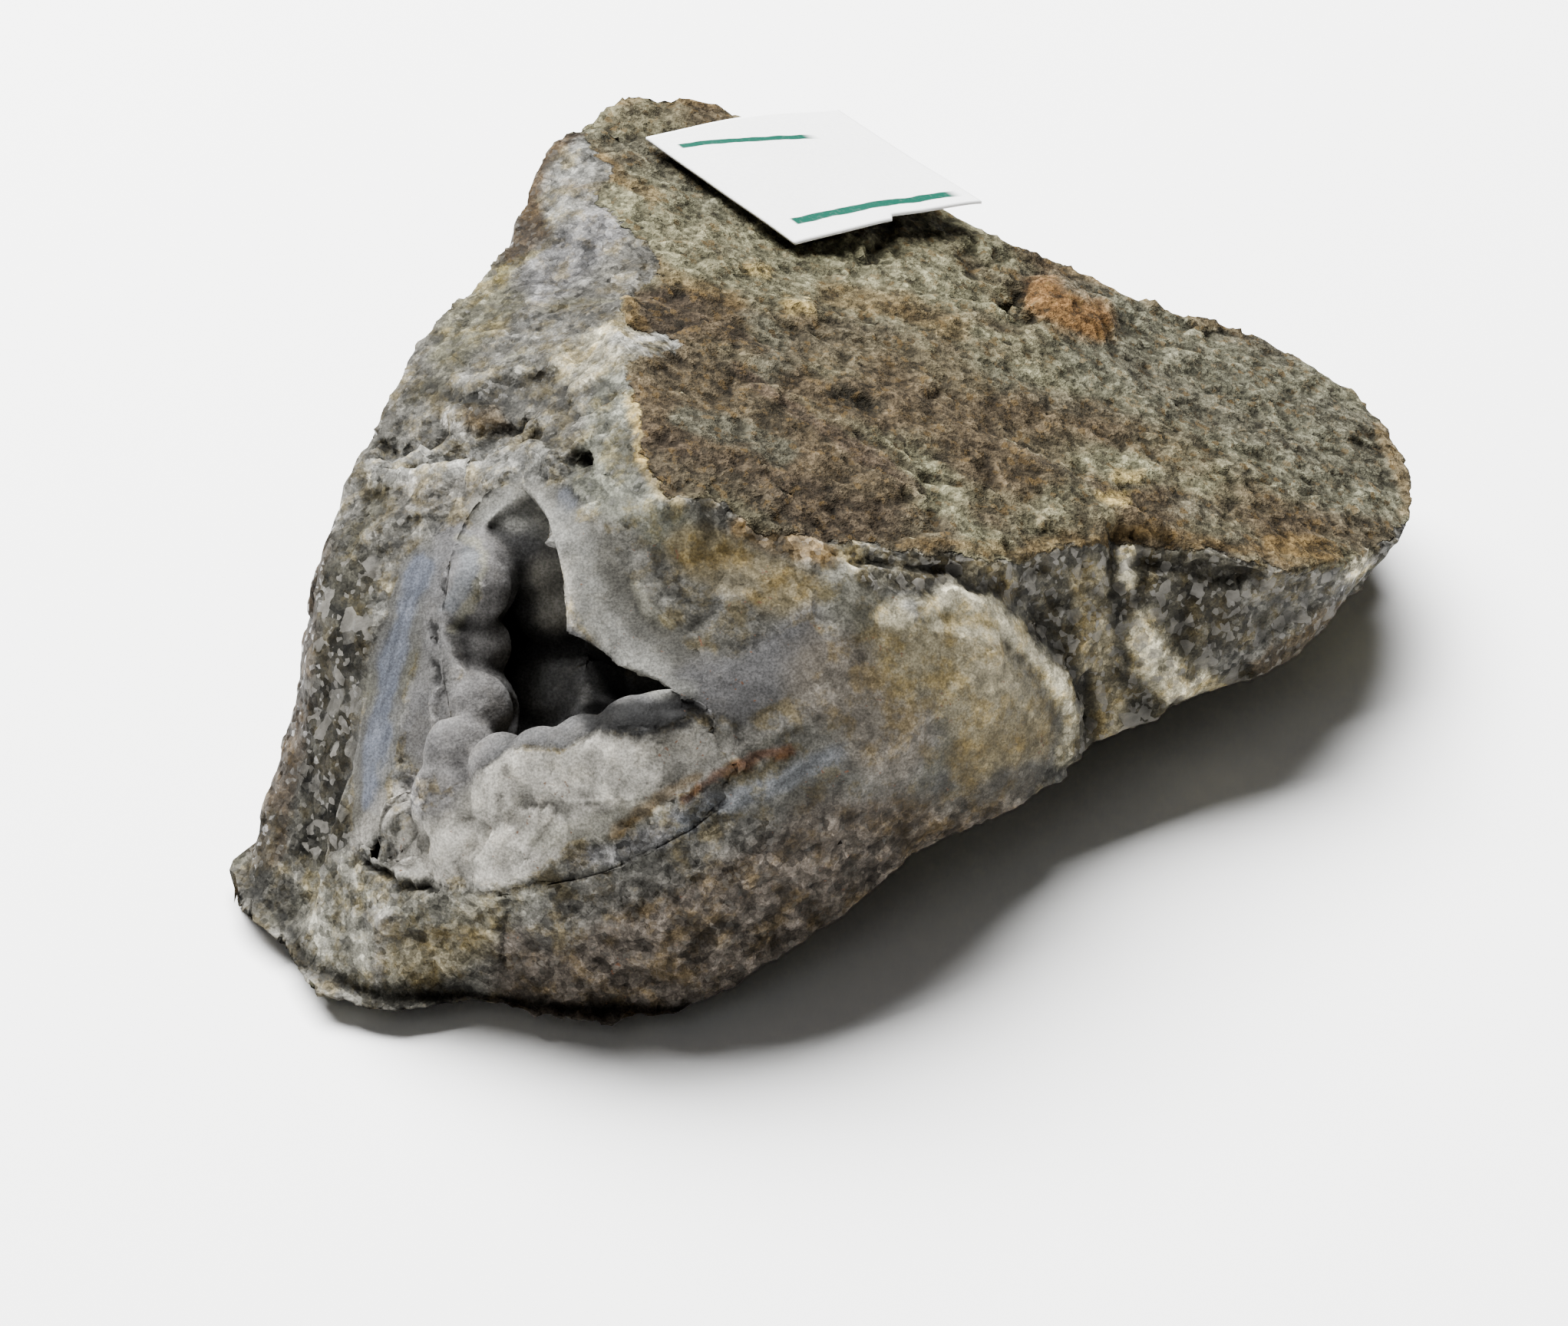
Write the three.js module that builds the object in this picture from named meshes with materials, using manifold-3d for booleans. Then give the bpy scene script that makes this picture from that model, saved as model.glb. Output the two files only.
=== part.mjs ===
// A hand specimen of blue lace agate: a wedge of weathered host rock, broken across a chalcedony
// vein, with a hollow in the vein, the hollow's botryoidal crust and a small paper label on top.
// Units are millimetres, +Z is up, and the stone rests on z = 0 with its broken front towards -Y.
// The origin is on the surface that the stone rests on, below the middle of its bounding box.

import * as THREE from "three";
import { ConvexHull } from "three/addons/math/ConvexHull.js";
import { ImprovedNoise } from "three/addons/math/ImprovedNoise.js";
import { mergeVertices } from "three/addons/utils/BufferGeometryUtils.js";
import Module from "manifold-3d";

const wasm = await Module();
wasm.setup();

// Driving dimensions
const FIT_GAP = 0.3; // between the crust or the label and the stone
const LABEL_LENGTH = 16;
const LABEL_WIDTH = 13;
const LABEL_THICKNESS = 0.25;
const LABEL_ARCH = 0.4; // how far the middle of the label's length stands up
const LABEL_NOTCH = 0.45; // depth of the step in its lower edge
const LABEL_NOTCH_WIDTH = 0.06; // over which that edge steps
const LABEL_STRIPS = 15; // facets along the label
const HOLLOW_DIP = THREE.MathUtils.degToRad(25); // how steeply the hollow runs back and down
const SHELF_HEIGHT = 0.6; // how far the crust's broken shelf stands out of the front
const SHELF_HALF_WIDTH = 9; // of the area that stands out
const SHELF_HALF_HEIGHT = 5;
const CRUST_SETBACK = 0.1; // of the rest of the crust's broken edge behind the stone's front

// The relief of the broken and weathered surfaces
const ROUGHNESS = 0.38; // its height
const HIDDEN_ROUGHNESS = 1.6; // how much higher it is on the left flank and the back
const GRAIN_SIZE = 3.4; // the foliated grains of the weathered top
const CRYSTAL_SIZE = 3.2; // the crystals of the broken faces
const CHIP_SIZE = 9; // the shallow chips between them
const GRAIN_STRETCH = 0.75; // how much of a grain's length is stretched along the foliation
const CALM_WIDTH = 3; // the top is smooth below the label and this far round it

// How finely the surfaces are divided
const SHORTEST_EDGE = 2.5; // the facets' edge length at the hollow
const LONGEST_EDGE = 5; // and far from it
const FINE_REACH = 10; // how far from the hollow's mouth the shortest edges reach
const EDGE_GROWTH = 0.04; // how much longer an edge is per millimetre beyond that
const HOLLOW_DETAIL = 3; // subdivisions of the hollow's ellipsoids
const LUMP_DETAIL = 2; // of the crust's lumps
const PIT_DETAIL = 1; // and of the small pits

// The stone's corners, line by line. Every line is a row of [x, y, z].
// STONE_MIDDLE is a point inside the stone that sees all of them.
const STONE_MIDDLE = new THREE.Vector3(-2, -4, 11);

const CORNERS = {
  // where the weathered top meets the broken left side, from back to front
  ridge: [
    [-14.3, 25, 25.9], [-15, 21, 26], [-13.6, 18, 25.8], [-13.5, 11, 25.8], [-13, 9, 25.8],
    [-11.9, 6.5, 25.3], [-10.7, 3.5, 25.3], [-12.1, -3.5, 26], [-12.5, -7.5, 26.2],
    [-12.1, -13, 26.3], [-11.5, -17.5, 26.3], [-10.8, -22.5, 26.1], [-9.7, -27, 25.8],
    [-8.5, -29, 25.5],
  ],
  // the front edge of the weathered top, from the ridge to the right tip
  brow: [
    [-6.5, -28, 24.5], [-4, -27.5, 23.5], [-1.5, -28, 22.5], [2, -25.5, 21], [6.5, -21.5, 19],
    [12, -14, 17], [18, -10, 14.5], [21.5, -9.5, 13], [26, -3, 11], [28, 1, 10], [29.6, 3.5, 9.2],
    [31.8, 12, 8.3],
  ],
  // the far edge of the weathered top, from the hump at the left to the right tip
  crest: [
    [-11.5, 32.5, 25], [-8.5, 34.5, 24.2], [-5.5, 33, 23], [-1, 33.5, 21.6], [4, 30.5, 19.8],
    [8.5, 28, 18.1], [12.5, 30, 15.5], [16.5, 28, 14.5], [20, 29, 12.5], [25, 31.5, 10.5],
    [28.5, 29, 9.5], [31, 24.5, 8.5], [31.5, 18, 8.5],
  ],
  // low swells and dips of the weathered top
  top: [
    [-9, 9.5, 24.6], [-9.5, -0.5, 24.8], [-7, -4, 24], [-1, 3.5, 21.3], [5, -6.5, 20],
    [11.5, -2.5, 16.7], [20, 4.5, 13.5], [10.5, 18, 17.6], [8, 15.5, 17.2], [13.5, 17, 15.5],
    [23.5, 17.5, 12], [-3, -19, 23.4], [-7.5, -17.5, 24.7], [3.5, 14, 19.8], [27, 9, 10],
    [16.5, 11.5, 14.5], [13, -9.5, 17], [2.5, -2.5, 20.8],
  ],
  // the weathered top below the label
  labelBed: [
    [-3.7, 13.9, 21.3], [-8.6, 19.3, 23.1], [-13.2, 24.7, 24.9], [2, 19.4, 20.1],
    [-2.9, 24.8, 22], [-7.7, 30.2, 23.8], [6.9, 24.3, 18.7], [2, 29.5, 20.5],
  ],
  // the left outline, from the foot up and back to the hump
  leftEdge: [
    [-32, -19, 0], [-31, -20, 3.5], [-29.5, -19.5, 6.5], [-28, -19, 10], [-28, -19, 12.5],
    [-27.5, -18, 16], [-27.5, -17, 17.5], [-26.5, -13, 19], [-25, -7, 20], [-24, -1, 21.5],
    [-22, 5, 22.5], [-21, 7, 22.5], [-20, 9, 23], [-19, 12, 23.5], [-18.5, 17, 24],
    [-18, 19, 25], [-17.5, 22, 25.5], [-16, 26, 25.5], [-14.5, 29, 25.5], [-13, 31.5, 25.5],
  ],
  // the lower edge of the broken front, from the left foot round to the knob
  foot: [
    [-31.5, -22.5, 0], [-29, -26.5, 0.5], [-27, -31.5, 0.5], [-25, -33, 0.5], [-23, -33.5, 0.5],
    [-19, -33, 1], [-16, -34, 0.5], [-13, -34, 0], [-9, -34.5, 1], [-6.5, -33.5, 2],
    [-2.5, -30.5, 3], [0, -28, 4], [2.5, -25, 4.5], [6, -23, 5], [9, -19.5, 5.5],
  ],
  // the broken face across the vein, left of the hollow and above it
  veinFace: [
    [-26, -26, 4.5], [-22.5, -31, 9], [-24.5, -24, 13.5], [-21, -24, 19], [-20, -19, 21.5],
    [-19, -7, 23.5], [-16, -1, 24.5], [-15.5, 10, 25], [-16, 17, 25.3],
    [-12, -28, 24], [-8.5, -30, 22.5],
  ],
  // a broken ledge above the hollow: its lip, then the foot of the step behind the lip
  ledge: [
    [-24.9, -10.6, 20.5], [-22, -13, 21.5], [-18.6, -16, 22.8], [-16.2, -19.2, 24],
    [-24.4, -9, 20], [-21.4, -11.3, 20.7], [-18.2, -14, 21.9], [-15.6, -17.2, 23.3],
  ],
  // the bulging front below and right of the hollow
  prow: [
    [-5, -32, 21], [-1, -30.5, 20.5], [-3, -35, 16.5], [0.5, -32.5, 13.5], [-8.5, -36, 17],
    [-10, -37, 11.5], [-15.5, -37, 10.5], [-19, -35.5, 8.5], [-23, -34, 6], [-27, -28.5, 4],
    [-13.5, -37, 6.5], [-8.5, -37.5, 8], [-5, -36, 10], [-1, -32.5, 10], [2.5, -29, 10],
  ],
  // the rounded chalcedony knob, and its rim in the last six
  knob: [
    [1.5, -29.5, 18.5], [3.5, -29.5, 16], [6.5, -25.5, 16], [7.5, -24.5, 12], [5.5, -26, 10],
    [4.5, -23.5, 18.5], [7, -21.5, 16.5], [8.5, -20, 13.5], [10, -18, 11], [11, -16, 8],
    [10.5, -16.5, 6.5],
  ],
  // the dark host rock right of the knob, and its lower edge in the last seven
  hostFace: [
    [9, -17, 13.5], [11.5, -14, 9.5], [12.5, -14, 13.5], [16, -11, 11.5], [20, -8, 10],
    [12, -13, 5], [15.5, -10.5, 5], [18, -8, 5.5], [21, -5, 5], [24.5, -1.5, 4.5],
    [26.5, 1, 6], [28, 2.5, 7.5],
  ],
  // the hidden left flank
  leftFlank: [
    [-29, -12, 8], [-27, -4, 11], [-25, 4, 12], [-22, 12, 14], [-19, 20, 12], [-17, 27, 14],
    [-14, 32, 14],
  ],
  // the hidden back
  back: [
    [-12, 33.5, 11], [-6, 36.5, 10], [2, 38, 12], [8, 36, 8], [14, 35, 9], [22, 34.5, 6],
    [28, 32.5, 5], [31, 27, 4.5], [32, 18, 4.5], [30.5, 14, 5.5],
  ],
  // the edge of the underside, left and back
  underEdge: [
    [-30, -15, 0], [-27, -8, 0.5], [-25, 2, 0], [-22, 12, 0.5], [-19, 22, 1], [-14, 30, 2.5],
    [-10, 34, 3], [0, 35, 2], [12, 33, 1.5], [22, 32, 1.5], [29, 26, 2], [27, 10, 3.5],
    [25, 3, 3.8],
  ],
  // the underside: what is below 0 is worn flat, and the stone stands on it
  underside: [
    [-20, -22, 0], [-10, -28, -0.4], [-18, -8, -0.7], [-8, -14, -0.7], [-12, 6, -0.7],
    [0, -14, 1], [2, 0, 0.5], [-3, 16, 0.6], [10, 8, 1.2], [12, 22, -0.6], [4, 29, 0.4],
    [20, 14, 1], [26, 22, 1.5], [14, -6, 2.8], [20, 2, 2.6],
  ],
};

// The hollow in the vein is cut into the stone as overlapping ellipsoids, and the crust's own void
// likewise. Their radii are across, along the dip and upright, and `lean` lifts the right end.
const SHELF = { at: [-13.6, -33.5, 12.5], radii: [9.6, 5.6, 4.1], lean: 0.33 };
const HOLLOW = [
  { at: [-17, -25, 16.2], radii: [3.4, 11, 7.6], lean: 0.05 },
  { at: [-12, -28.5, 14.8], radii: [5, 10, 2.2], lean: -0.15 },
  SHELF,
];
const VOID = [
  { at: [-16.4, -25.5, 17.4], radii: [3.3, 7.8, 6], lean: 0.05 },
  { at: [-11.8, -29, 15.8], radii: [5.2, 6.8, 2], lean: -0.15 },
];
// the rounded lumps of the crust that show in the hollow's mouth
const LUMPS = [
  { at: [-19.3, -22.6, 18.6], radius: 2.5 },
  { at: [-19.7, -23.6, 15.6], radius: 2.1 },
  { at: [-19.6, -26.2, 13], radius: 2.9 },
  { at: [-13.4, -18.3, 16.2], radius: 2.2 },
  { at: [-11.2, -28, 12.8], radius: 2.1 },
  { at: [-15.3, -31, 12.4], radius: 1.8 },
  { at: [-15.6, -18.5, 10.4], radius: 1.8 },
  { at: [-17.8, -32.3, 11.7], radius: 1.6 },
  { at: [-13.1, -32.3, 13.6], radius: 1.6 },
  { at: [-9.6, -33.3, 14.8], radius: 1.4 },
];
// small holes between the vein's layers
const PITS = [
  { at: [-23.2, -31, 8.1], radii: [0.6, 1.6, 0.6] },
  { at: [-13.6, -21.6, 24.2], radii: [0.8, 1.2, 0.6] },
];

const noise = new ImprovedNoise();

// Noise of three octaves, about -1 to 1, with its largest lumps `size` millimetres across.
function lumpy(point, size, shift = 0) {
  let sum = 0;
  for (let octave = 0; octave < 3; octave++) {
    const k = 2 ** octave / size;
    sum += noise.noise(point.x * k + shift, point.y * k + shift, point.z * k - shift) / 2 ** octave;
  }
  return sum;
}

// A skin is a list of points and a list of triangles of their indices.
// The corners are joined in the way that the convex hull of their directions from the middle joins them.
function skinOver(corners, middle) {
  const directions = corners.map((corner) => corner.clone().sub(middle).normalize());
  const indexOf = new Map(directions.map((direction, i) => [direction, i]));
  const hull = new ConvexHull().setFromPoints(directions);
  const triangles = hull.faces.map((face) => {
    const { edge } = face;
    return [edge, edge.next, edge.prev].map((e) => indexOf.get(e.head().point));
  });
  return { points: corners.map((corner) => corner.clone()), triangles };
}

// Halves every edge that is longer than the limit at its middle, until none is.
function refine({ points, triangles }, limitAt) {
  const midpoints = new Map();
  const midpointOf = (a, b) => {
    const key = a < b ? `${a} ${b}` : `${b} ${a}`;
    if (!midpoints.has(key)) {
      const middle = points[a].clone().lerp(points[b], 0.5);
      const tooLong = points[a].distanceTo(points[b]) > limitAt(middle);
      midpoints.set(key, tooLong ? points.push(middle) - 1 : null);
    }
    return midpoints.get(key);
  };
  const finished = [];
  let waiting = triangles;
  while (waiting.length) {
    const next = [];
    for (const [a, b, c] of waiting) {
      const [ab, bc, ca] = [midpointOf(a, b), midpointOf(b, c), midpointOf(c, a)];
      const count = [ab, bc, ca].filter((m) => m !== null).length;
      if (count === 0) finished.push([a, b, c]);
      else if (count === 3) next.push([a, ab, ca], [ab, b, bc], [ca, bc, c], [ab, bc, ca]);
      else if (ab !== null) {
        if (bc !== null) next.push([ab, b, bc], [a, ab, bc], [a, bc, c]);
        else if (ca !== null) next.push([a, ab, ca], [ab, b, c], [ab, c, ca]);
        else next.push([a, ab, c], [ab, b, c]);
      } else if (bc !== null && ca !== null) next.push([ca, bc, c], [a, b, bc], [a, bc, ca]);
      else if (bc !== null) next.push([a, b, bc], [a, bc, c]);
      else next.push([a, b, ca], [ca, b, c]);
    }
    waiting = next;
  }
  return { points, triangles: finished };
}

// Moves each point of a skin along its normal by heightAt(point, normal).
function raise({ points, triangles }, heightAt) {
  const normals = points.map(() => new THREE.Vector3());
  for (const triangle of triangles) {
    const [a, b, c] = triangle.map((i) => points[i]);
    const normal = b.clone().sub(a).cross(c.clone().sub(a));
    triangle.forEach((i) => normals[i].add(normal));
  }
  const raised = points.map((point, i) => {
    const normal = normals[i].normalize();
    return point.clone().addScaledVector(normal, heightAt(point, normal));
  });
  return { points: raised, triangles };
}

function solidOfSkin({ points, triangles }) {
  return new wasm.Manifold(
    new wasm.Mesh({
      numProp: 3,
      vertProperties: new Float32Array(points.flatMap((p) => [p.x, p.y, p.z])),
      triVerts: new Uint32Array(triangles.flat()),
    }),
  );
}

function solidOf(geometry) {
  const bare = geometry.clone();
  bare.deleteAttribute("normal");
  bare.deleteAttribute("uv");
  const merged = mergeVertices(bare, 1e-4);
  const triVerts = merged.index
    ? new Uint32Array(merged.index.array)
    : Uint32Array.from({ length: merged.attributes.position.count }, (_, i) => i);
  return new wasm.Manifold(
    new wasm.Mesh({ numProp: 3, vertProperties: merged.attributes.position.array, triVerts }),
  );
}

function geometryOf(solid) {
  const { numProp, numVert, vertProperties, triVerts } = solid.getMesh();
  const positions = new Float32Array(numVert * 3);
  for (let i = 0; i < numVert; i++) {
    positions.set(vertProperties.subarray(i * numProp, i * numProp + 3), i * 3);
  }
  const geometry = new THREE.BufferGeometry();
  geometry.setAttribute("position", new THREE.BufferAttribute(positions, 3));
  geometry.setIndex(new THREE.BufferAttribute(triVerts, 1));
  return geometry;
}

// How far the hollow's walls, the void's and the small bumps' stray from a true ellipsoid.
const ROUGH_WALL = 0.35;
const WAXY_WALL = 0.25;
const SMOOTH_WALL = 0.1;
const WALL_LUMP = 1.25; // size of their unevenness, as a share of the ellipsoid's radius

// An ellipsoid with an uneven surface, grown by `grow`, leaning sideways and dipping back.
function ellipsoid({ at, radii, lean = 0 }, detail, unevenness, grow = 0) {
  const geometry = new THREE.IcosahedronGeometry(1, detail);
  const position = geometry.attributes.position;
  const point = new THREE.Vector3();
  const centre = new THREE.Vector3(...at);
  const turn = new THREE.Quaternion().setFromEuler(new THREE.Euler(-HOLLOW_DIP, -lean, 0));
  const size = new THREE.Vector3(...radii).addScalar(grow);
  for (let i = 0; i < position.count; i++) {
    point.fromBufferAttribute(position, i);
    const bump = unevenness * lumpy(point.clone().addScaledVector(centre, 0.25), WALL_LUMP);
    point.multiply(size.clone().addScalar(bump)).applyQuaternion(turn).add(centre);
    position.setXYZ(i, point.x, point.y, point.z);
  }
  return solidOf(geometry);
}

function union(solids) {
  return solids.reduce((whole, solid) => whole.add(solid));
}

// The label lies on the weathered top: its near corner, what it faces and the way of its width.
const LABEL_CORNER = new THREE.Vector3(-3.5, 15.3, 21.85);
const LABEL_UP = new THREE.Vector3(0.27, -0.09, 0.96).normalize();
const LABEL_ACROSS = new THREE.Vector3(-0.65, 0.72, 0.25).projectOnPlane(LABEL_UP).normalize();
const LABEL_ALONG = new THREE.Vector3().crossVectors(LABEL_ACROSS, LABEL_UP);

// How far a point of the top is beside the label's outline, 0 below the label itself.
function distanceFromLabel(point) {
  const offset = point.clone().sub(LABEL_CORNER);
  const along = offset.dot(LABEL_ALONG);
  const across = offset.dot(LABEL_ACROSS);
  return Math.max(-along, along - LABEL_LENGTH, -across, across - LABEL_WIDTH, 0);
}

// Relief of the stone's surface: foliation on the weathered top, crystals on the broken faces.
const FOLIATION = new THREE.Vector3(0.8, -0.55, -0.2).normalize();
const RIDGE_X = -14; // the weathered top lies right of this
const TOP_SLOPE = 0.75; // and its normal's z is over this
const FLANK_SLOPE = 0.5; // the flank's and the back's is below this

function reliefAt(point, normal) {
  if (normal.z > TOP_SLOPE && point.x > RIDGE_X) {
    const along = point.dot(FOLIATION);
    const grain = point.clone().addScaledVector(FOLIATION, -GRAIN_STRETCH * along);
    const calm = THREE.MathUtils.smoothstep(distanceFromLabel(point), 0, CALM_WIDTH);
    return ROUGHNESS * calm * lumpy(grain, GRAIN_SIZE);
  }
  const chips = -Math.abs(lumpy(point, CHIP_SIZE, 4.7));
  const crystals = lumpy(point, CRYSTAL_SIZE, 1.3);
  const isHidden = point.y > 0 && normal.z < FLANK_SLOPE;
  return ROUGHNESS * (isHidden ? HIDDEN_ROUGHNESS * (crystals + chips) : crystals + chips / 2);
}

// The facets are finest at the hollow's mouth.
const HOLLOW_MOUTH = new THREE.Vector3(-15, -33, 14);
function edgeLimitAt(point) {
  const beyond = point.distanceTo(HOLLOW_MOUTH) - FINE_REACH;
  return THREE.MathUtils.clamp(SHORTEST_EDGE + EDGE_GROWTH * beyond, SHORTEST_EDGE, LONGEST_EDGE);
}

const corners = Object.values(CORNERS).flat().map((corner) => new THREE.Vector3(...corner));
const plainSkin = refine(skinOver(corners, STONE_MIDDLE), edgeLimitAt);

// The ground below the stone, larger than the stone on every side.
const GROUND_WIDTH = 200;
const GROUND_DEPTH = 20;
const ground = solidOf(
  new THREE.BoxGeometry(GROUND_WIDTH, GROUND_WIDTH, GROUND_DEPTH).translate(0, 0, -GROUND_DEPTH / 2),
);

// The stone before the hollow is cut, with the bumps of its underside worn flat.
function makeWholeStone() {
  return solidOfSkin(raise(plainSkin, reliefAt)).subtract(ground);
}

function makeStone() {
  const hollow = union(HOLLOW.map((lobe) => ellipsoid(lobe, HOLLOW_DETAIL, ROUGH_WALL)));
  const pits = union(PITS.map((pit) => ellipsoid(pit, PIT_DETAIL, SMOOTH_WALL)));
  return makeWholeStone().subtract(hollow).subtract(pits);
}

// How far the crust's front stands out of the plain skin at a point, relief included.
function crustFrontAt(point, normal) {
  const [shelfX, , shelfZ] = SHELF.at;
  const beside = (point.x - shelfX) / SHELF_HALF_WIDTH;
  const above = (point.z - shelfZ) / SHELF_HALF_HEIGHT;
  const standOut = 1 - THREE.MathUtils.smoothstep(Math.hypot(beside, above), 0.6, 1.1);
  return reliefAt(point, normal) + SHELF_HEIGHT * standOut - CRUST_SETBACK;
}

// The crust fills the hollow but for its void, with lumps round the void's walls. It is broken off
// flush with the stone's front, but for the shelf, which stands out.
function makeCrust() {
  const front = solidOfSkin(raise(plainSkin, crustFrontAt));
  const hollow = union(
    HOLLOW.map((lobe) => ellipsoid(lobe, HOLLOW_DETAIL, ROUGH_WALL, -FIT_GAP)),
  );
  const inner = union(VOID.map((lobe) => ellipsoid(lobe, HOLLOW_DETAIL, WAXY_WALL)));
  const lumps = union(
    LUMPS.map(({ at, radius }) => {
      const lump = { at, radii: [radius, radius, radius], lean: 0 };
      return ellipsoid(lump, LUMP_DETAIL, SMOOTH_WALL);
    }),
  );
  return hollow.subtract(inner).add(lumps.intersect(hollow)).intersect(front);
}

// The paper arches along its length, and one long edge has a small step at its middle. The strips
// are an odd number, and the middle one is drawn in to the width of that step.
function makeLabelGeometry() {
  const size = [LABEL_LENGTH, LABEL_WIDTH, LABEL_THICKNESS];
  const geometry = new THREE.BoxGeometry(...size, LABEL_STRIPS, 1, 1);
  const position = geometry.attributes.position;
  for (let i = 0; i < position.count; i++) {
    const [x, y, z] = [position.getX(i), position.getY(i), position.getZ(i)];
    const isMiddle = Math.abs(x) < LABEL_LENGTH / LABEL_STRIPS;
    const atNotch = x > 0 && y < 0;
    position.setX(i, isMiddle ? (Math.sign(x) * LABEL_NOTCH_WIDTH) / 2 : x);
    position.setY(i, atNotch ? y + LABEL_NOTCH : y);
    position.setZ(i, z + LABEL_ARCH * (1 - ((2 * x) / LABEL_LENGTH) ** 2));
  }
  return geometry.translate(LABEL_LENGTH / 2, LABEL_WIDTH / 2, LABEL_THICKNESS / 2);
}

function makeMesh(name, geometry, color, roughness) {
  geometry.computeVertexNormals();
  const material = new THREE.MeshStandardMaterial({ color, roughness, metalness: 0 });
  const mesh = new THREE.Mesh(geometry, material);
  mesh.name = name;
  return mesh;
}

const stone = makeMesh("stone", geometryOf(makeStone()), 0x8a8170, 0.85);
const crust = makeMesh("chalcedony_crust", geometryOf(makeCrust()), 0xc4c3c6, 0.55);
const label = makeMesh("paper_label", makeLabelGeometry(), 0xf4f4f0, 0.8);
const labelFrame = new THREE.Matrix4().makeBasis(LABEL_ALONG, LABEL_ACROSS, LABEL_UP);
label.setRotationFromMatrix(labelFrame);
label.position.copy(LABEL_CORNER);

const agate = new THREE.Group();
agate.add(stone, crust, label);

// The group moves so that the origin is below the middle of the whole.
const box = new THREE.Box3().setFromObject(agate);
const centre = box.getCenter(new THREE.Vector3());
agate.position.set(-centre.x, -centre.y, -box.min.z);

export default agate;
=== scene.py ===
# A hand specimen of blue lace agate, laid out as an add-on: the host rock with the vein that crosses
# it, the rounded chalcedony crust of the vein's hollow, and a small paper label on top.
# Lengths are metres. The painted marks are placed by pixels of the photograph, which is 2043 wide
# and 1728 high, and lie on the faces that its camera sees.

import math

import bmesh
import bpy
import numpy as np
from bpy.props import FloatProperty, FloatVectorProperty, PointerProperty
from mathutils import Matrix, Vector, noise
from mathutils.bvhtree import BVHTree


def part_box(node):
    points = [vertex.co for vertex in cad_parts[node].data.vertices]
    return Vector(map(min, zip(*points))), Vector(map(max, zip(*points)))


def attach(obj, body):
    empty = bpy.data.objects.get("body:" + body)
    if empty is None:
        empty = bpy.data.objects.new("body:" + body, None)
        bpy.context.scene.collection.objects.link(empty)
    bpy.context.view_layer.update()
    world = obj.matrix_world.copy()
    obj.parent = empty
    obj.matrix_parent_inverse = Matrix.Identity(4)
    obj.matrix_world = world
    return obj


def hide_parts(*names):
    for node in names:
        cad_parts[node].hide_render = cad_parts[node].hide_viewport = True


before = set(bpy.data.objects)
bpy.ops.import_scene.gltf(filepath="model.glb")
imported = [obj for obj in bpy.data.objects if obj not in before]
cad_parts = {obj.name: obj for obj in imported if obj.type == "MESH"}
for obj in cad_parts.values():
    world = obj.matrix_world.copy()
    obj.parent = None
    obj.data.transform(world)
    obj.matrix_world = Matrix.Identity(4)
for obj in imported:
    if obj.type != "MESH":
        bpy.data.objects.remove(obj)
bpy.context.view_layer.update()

bl_info = {
    "name": "Blue Lace Agate Specimen",
    "version": (1, 0, 0),
    "blender": (4, 5, 0),
    "location": "3D Viewport > Sidebar > Agate",
    "description": "Makes an agate specimen with a crusted hollow and a paper label",
    "category": "Add Mesh",
}

MM = 0.001

# The photograph's camera: its frame in pixels, its focal length, and where it stands.
PHOTO_WIDTH = 2043
PHOTO_HEIGHT = 1728
FOCAL_PIXELS = 6000
SENSOR_WIDTH = 36
VIEW_TILT = math.radians(25)
VIEW_DISTANCE = 216 * MM
VIEW_TARGET = Vector((-3.805, -30.959, 18)) * MM
VIEW_RIGHT = Vector((1, 0, 0))
VIEW_BACK = Vector((0, -math.cos(VIEW_TILT), math.sin(VIEW_TILT)))
VIEW_UP = VIEW_BACK.cross(VIEW_RIGHT)
VIEW_EYE = VIEW_TARGET + VIEW_DISTANCE * VIEW_BACK
PIXEL = VIEW_DISTANCE / FOCAL_PIXELS

# The way in which the host rock's streaks are drawn out. The grains and crystals are longest from
# front to back, as the photograph looks, and this is their width as a share of that length.
FOLIATION = Vector((0.8, -0.55, -0.2)).normalized()
GRAIN_WIDTH = 0.42

# Outlines in the photograph's pixels. The weathered top ends at the ridge and at the brow.
TOP_OUTLINE = [
    (640, 60), (700, 150), (748, 160), (773, 187), (787, 214), (804, 227), (782, 250), (775, 272),
    (796, 276), (809, 299), (827, 308), (851, 330), (858, 357), (818, 384), (804, 397), (811, 424),
    (835, 430), (871, 437), (889, 455), (868, 464), (813, 468), (820, 491), (831, 526), (840, 544),
    (836, 571), (842, 593), (858, 616), (871, 638), (903, 651), (943, 656), (960, 672), (989, 693),
    (1085, 706), (1155, 712), (1257, 728), (1315, 731), (1436, 706), (1461, 712), (1576, 719),
    (1633, 738), (1704, 744), (1748, 744), (1793, 719), (1844, 674), (1990, 640), (1900, 60),
]
SHELF_OUTLINE = [
    (514, 1143), (518, 1090), (532, 1062), (572, 1040), (617, 1009), (683, 973), (737, 980),
    (782, 955), (862, 951), (902, 933), (947, 965), (950, 990), (930, 1010), (902, 1031),
    (826, 1067), (759, 1094), (688, 1143), (600, 1150),
]
MOUTH_OUTLINE = [
    (603, 700), (640, 655), (700, 652), (735, 690), (748, 763), (742, 808), (768, 839), (808, 866),
    (831, 893), (853, 910), (884, 910), (902, 933), (862, 951), (782, 955), (737, 980), (683, 973),
    (617, 1009), (572, 1040), (560, 1000), (572, 930), (600, 880), (600, 820), (630, 770),
    (628, 735),
]
MATRIX_OUTLINE = [
    (425, 730), (478, 715), (500, 745), (486, 790), (478, 860), (466, 930), (455, 1010), (452, 1085),
    (420, 1128), (385, 1120), (392, 1040), (402, 960), (406, 880), (410, 790),
]
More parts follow.
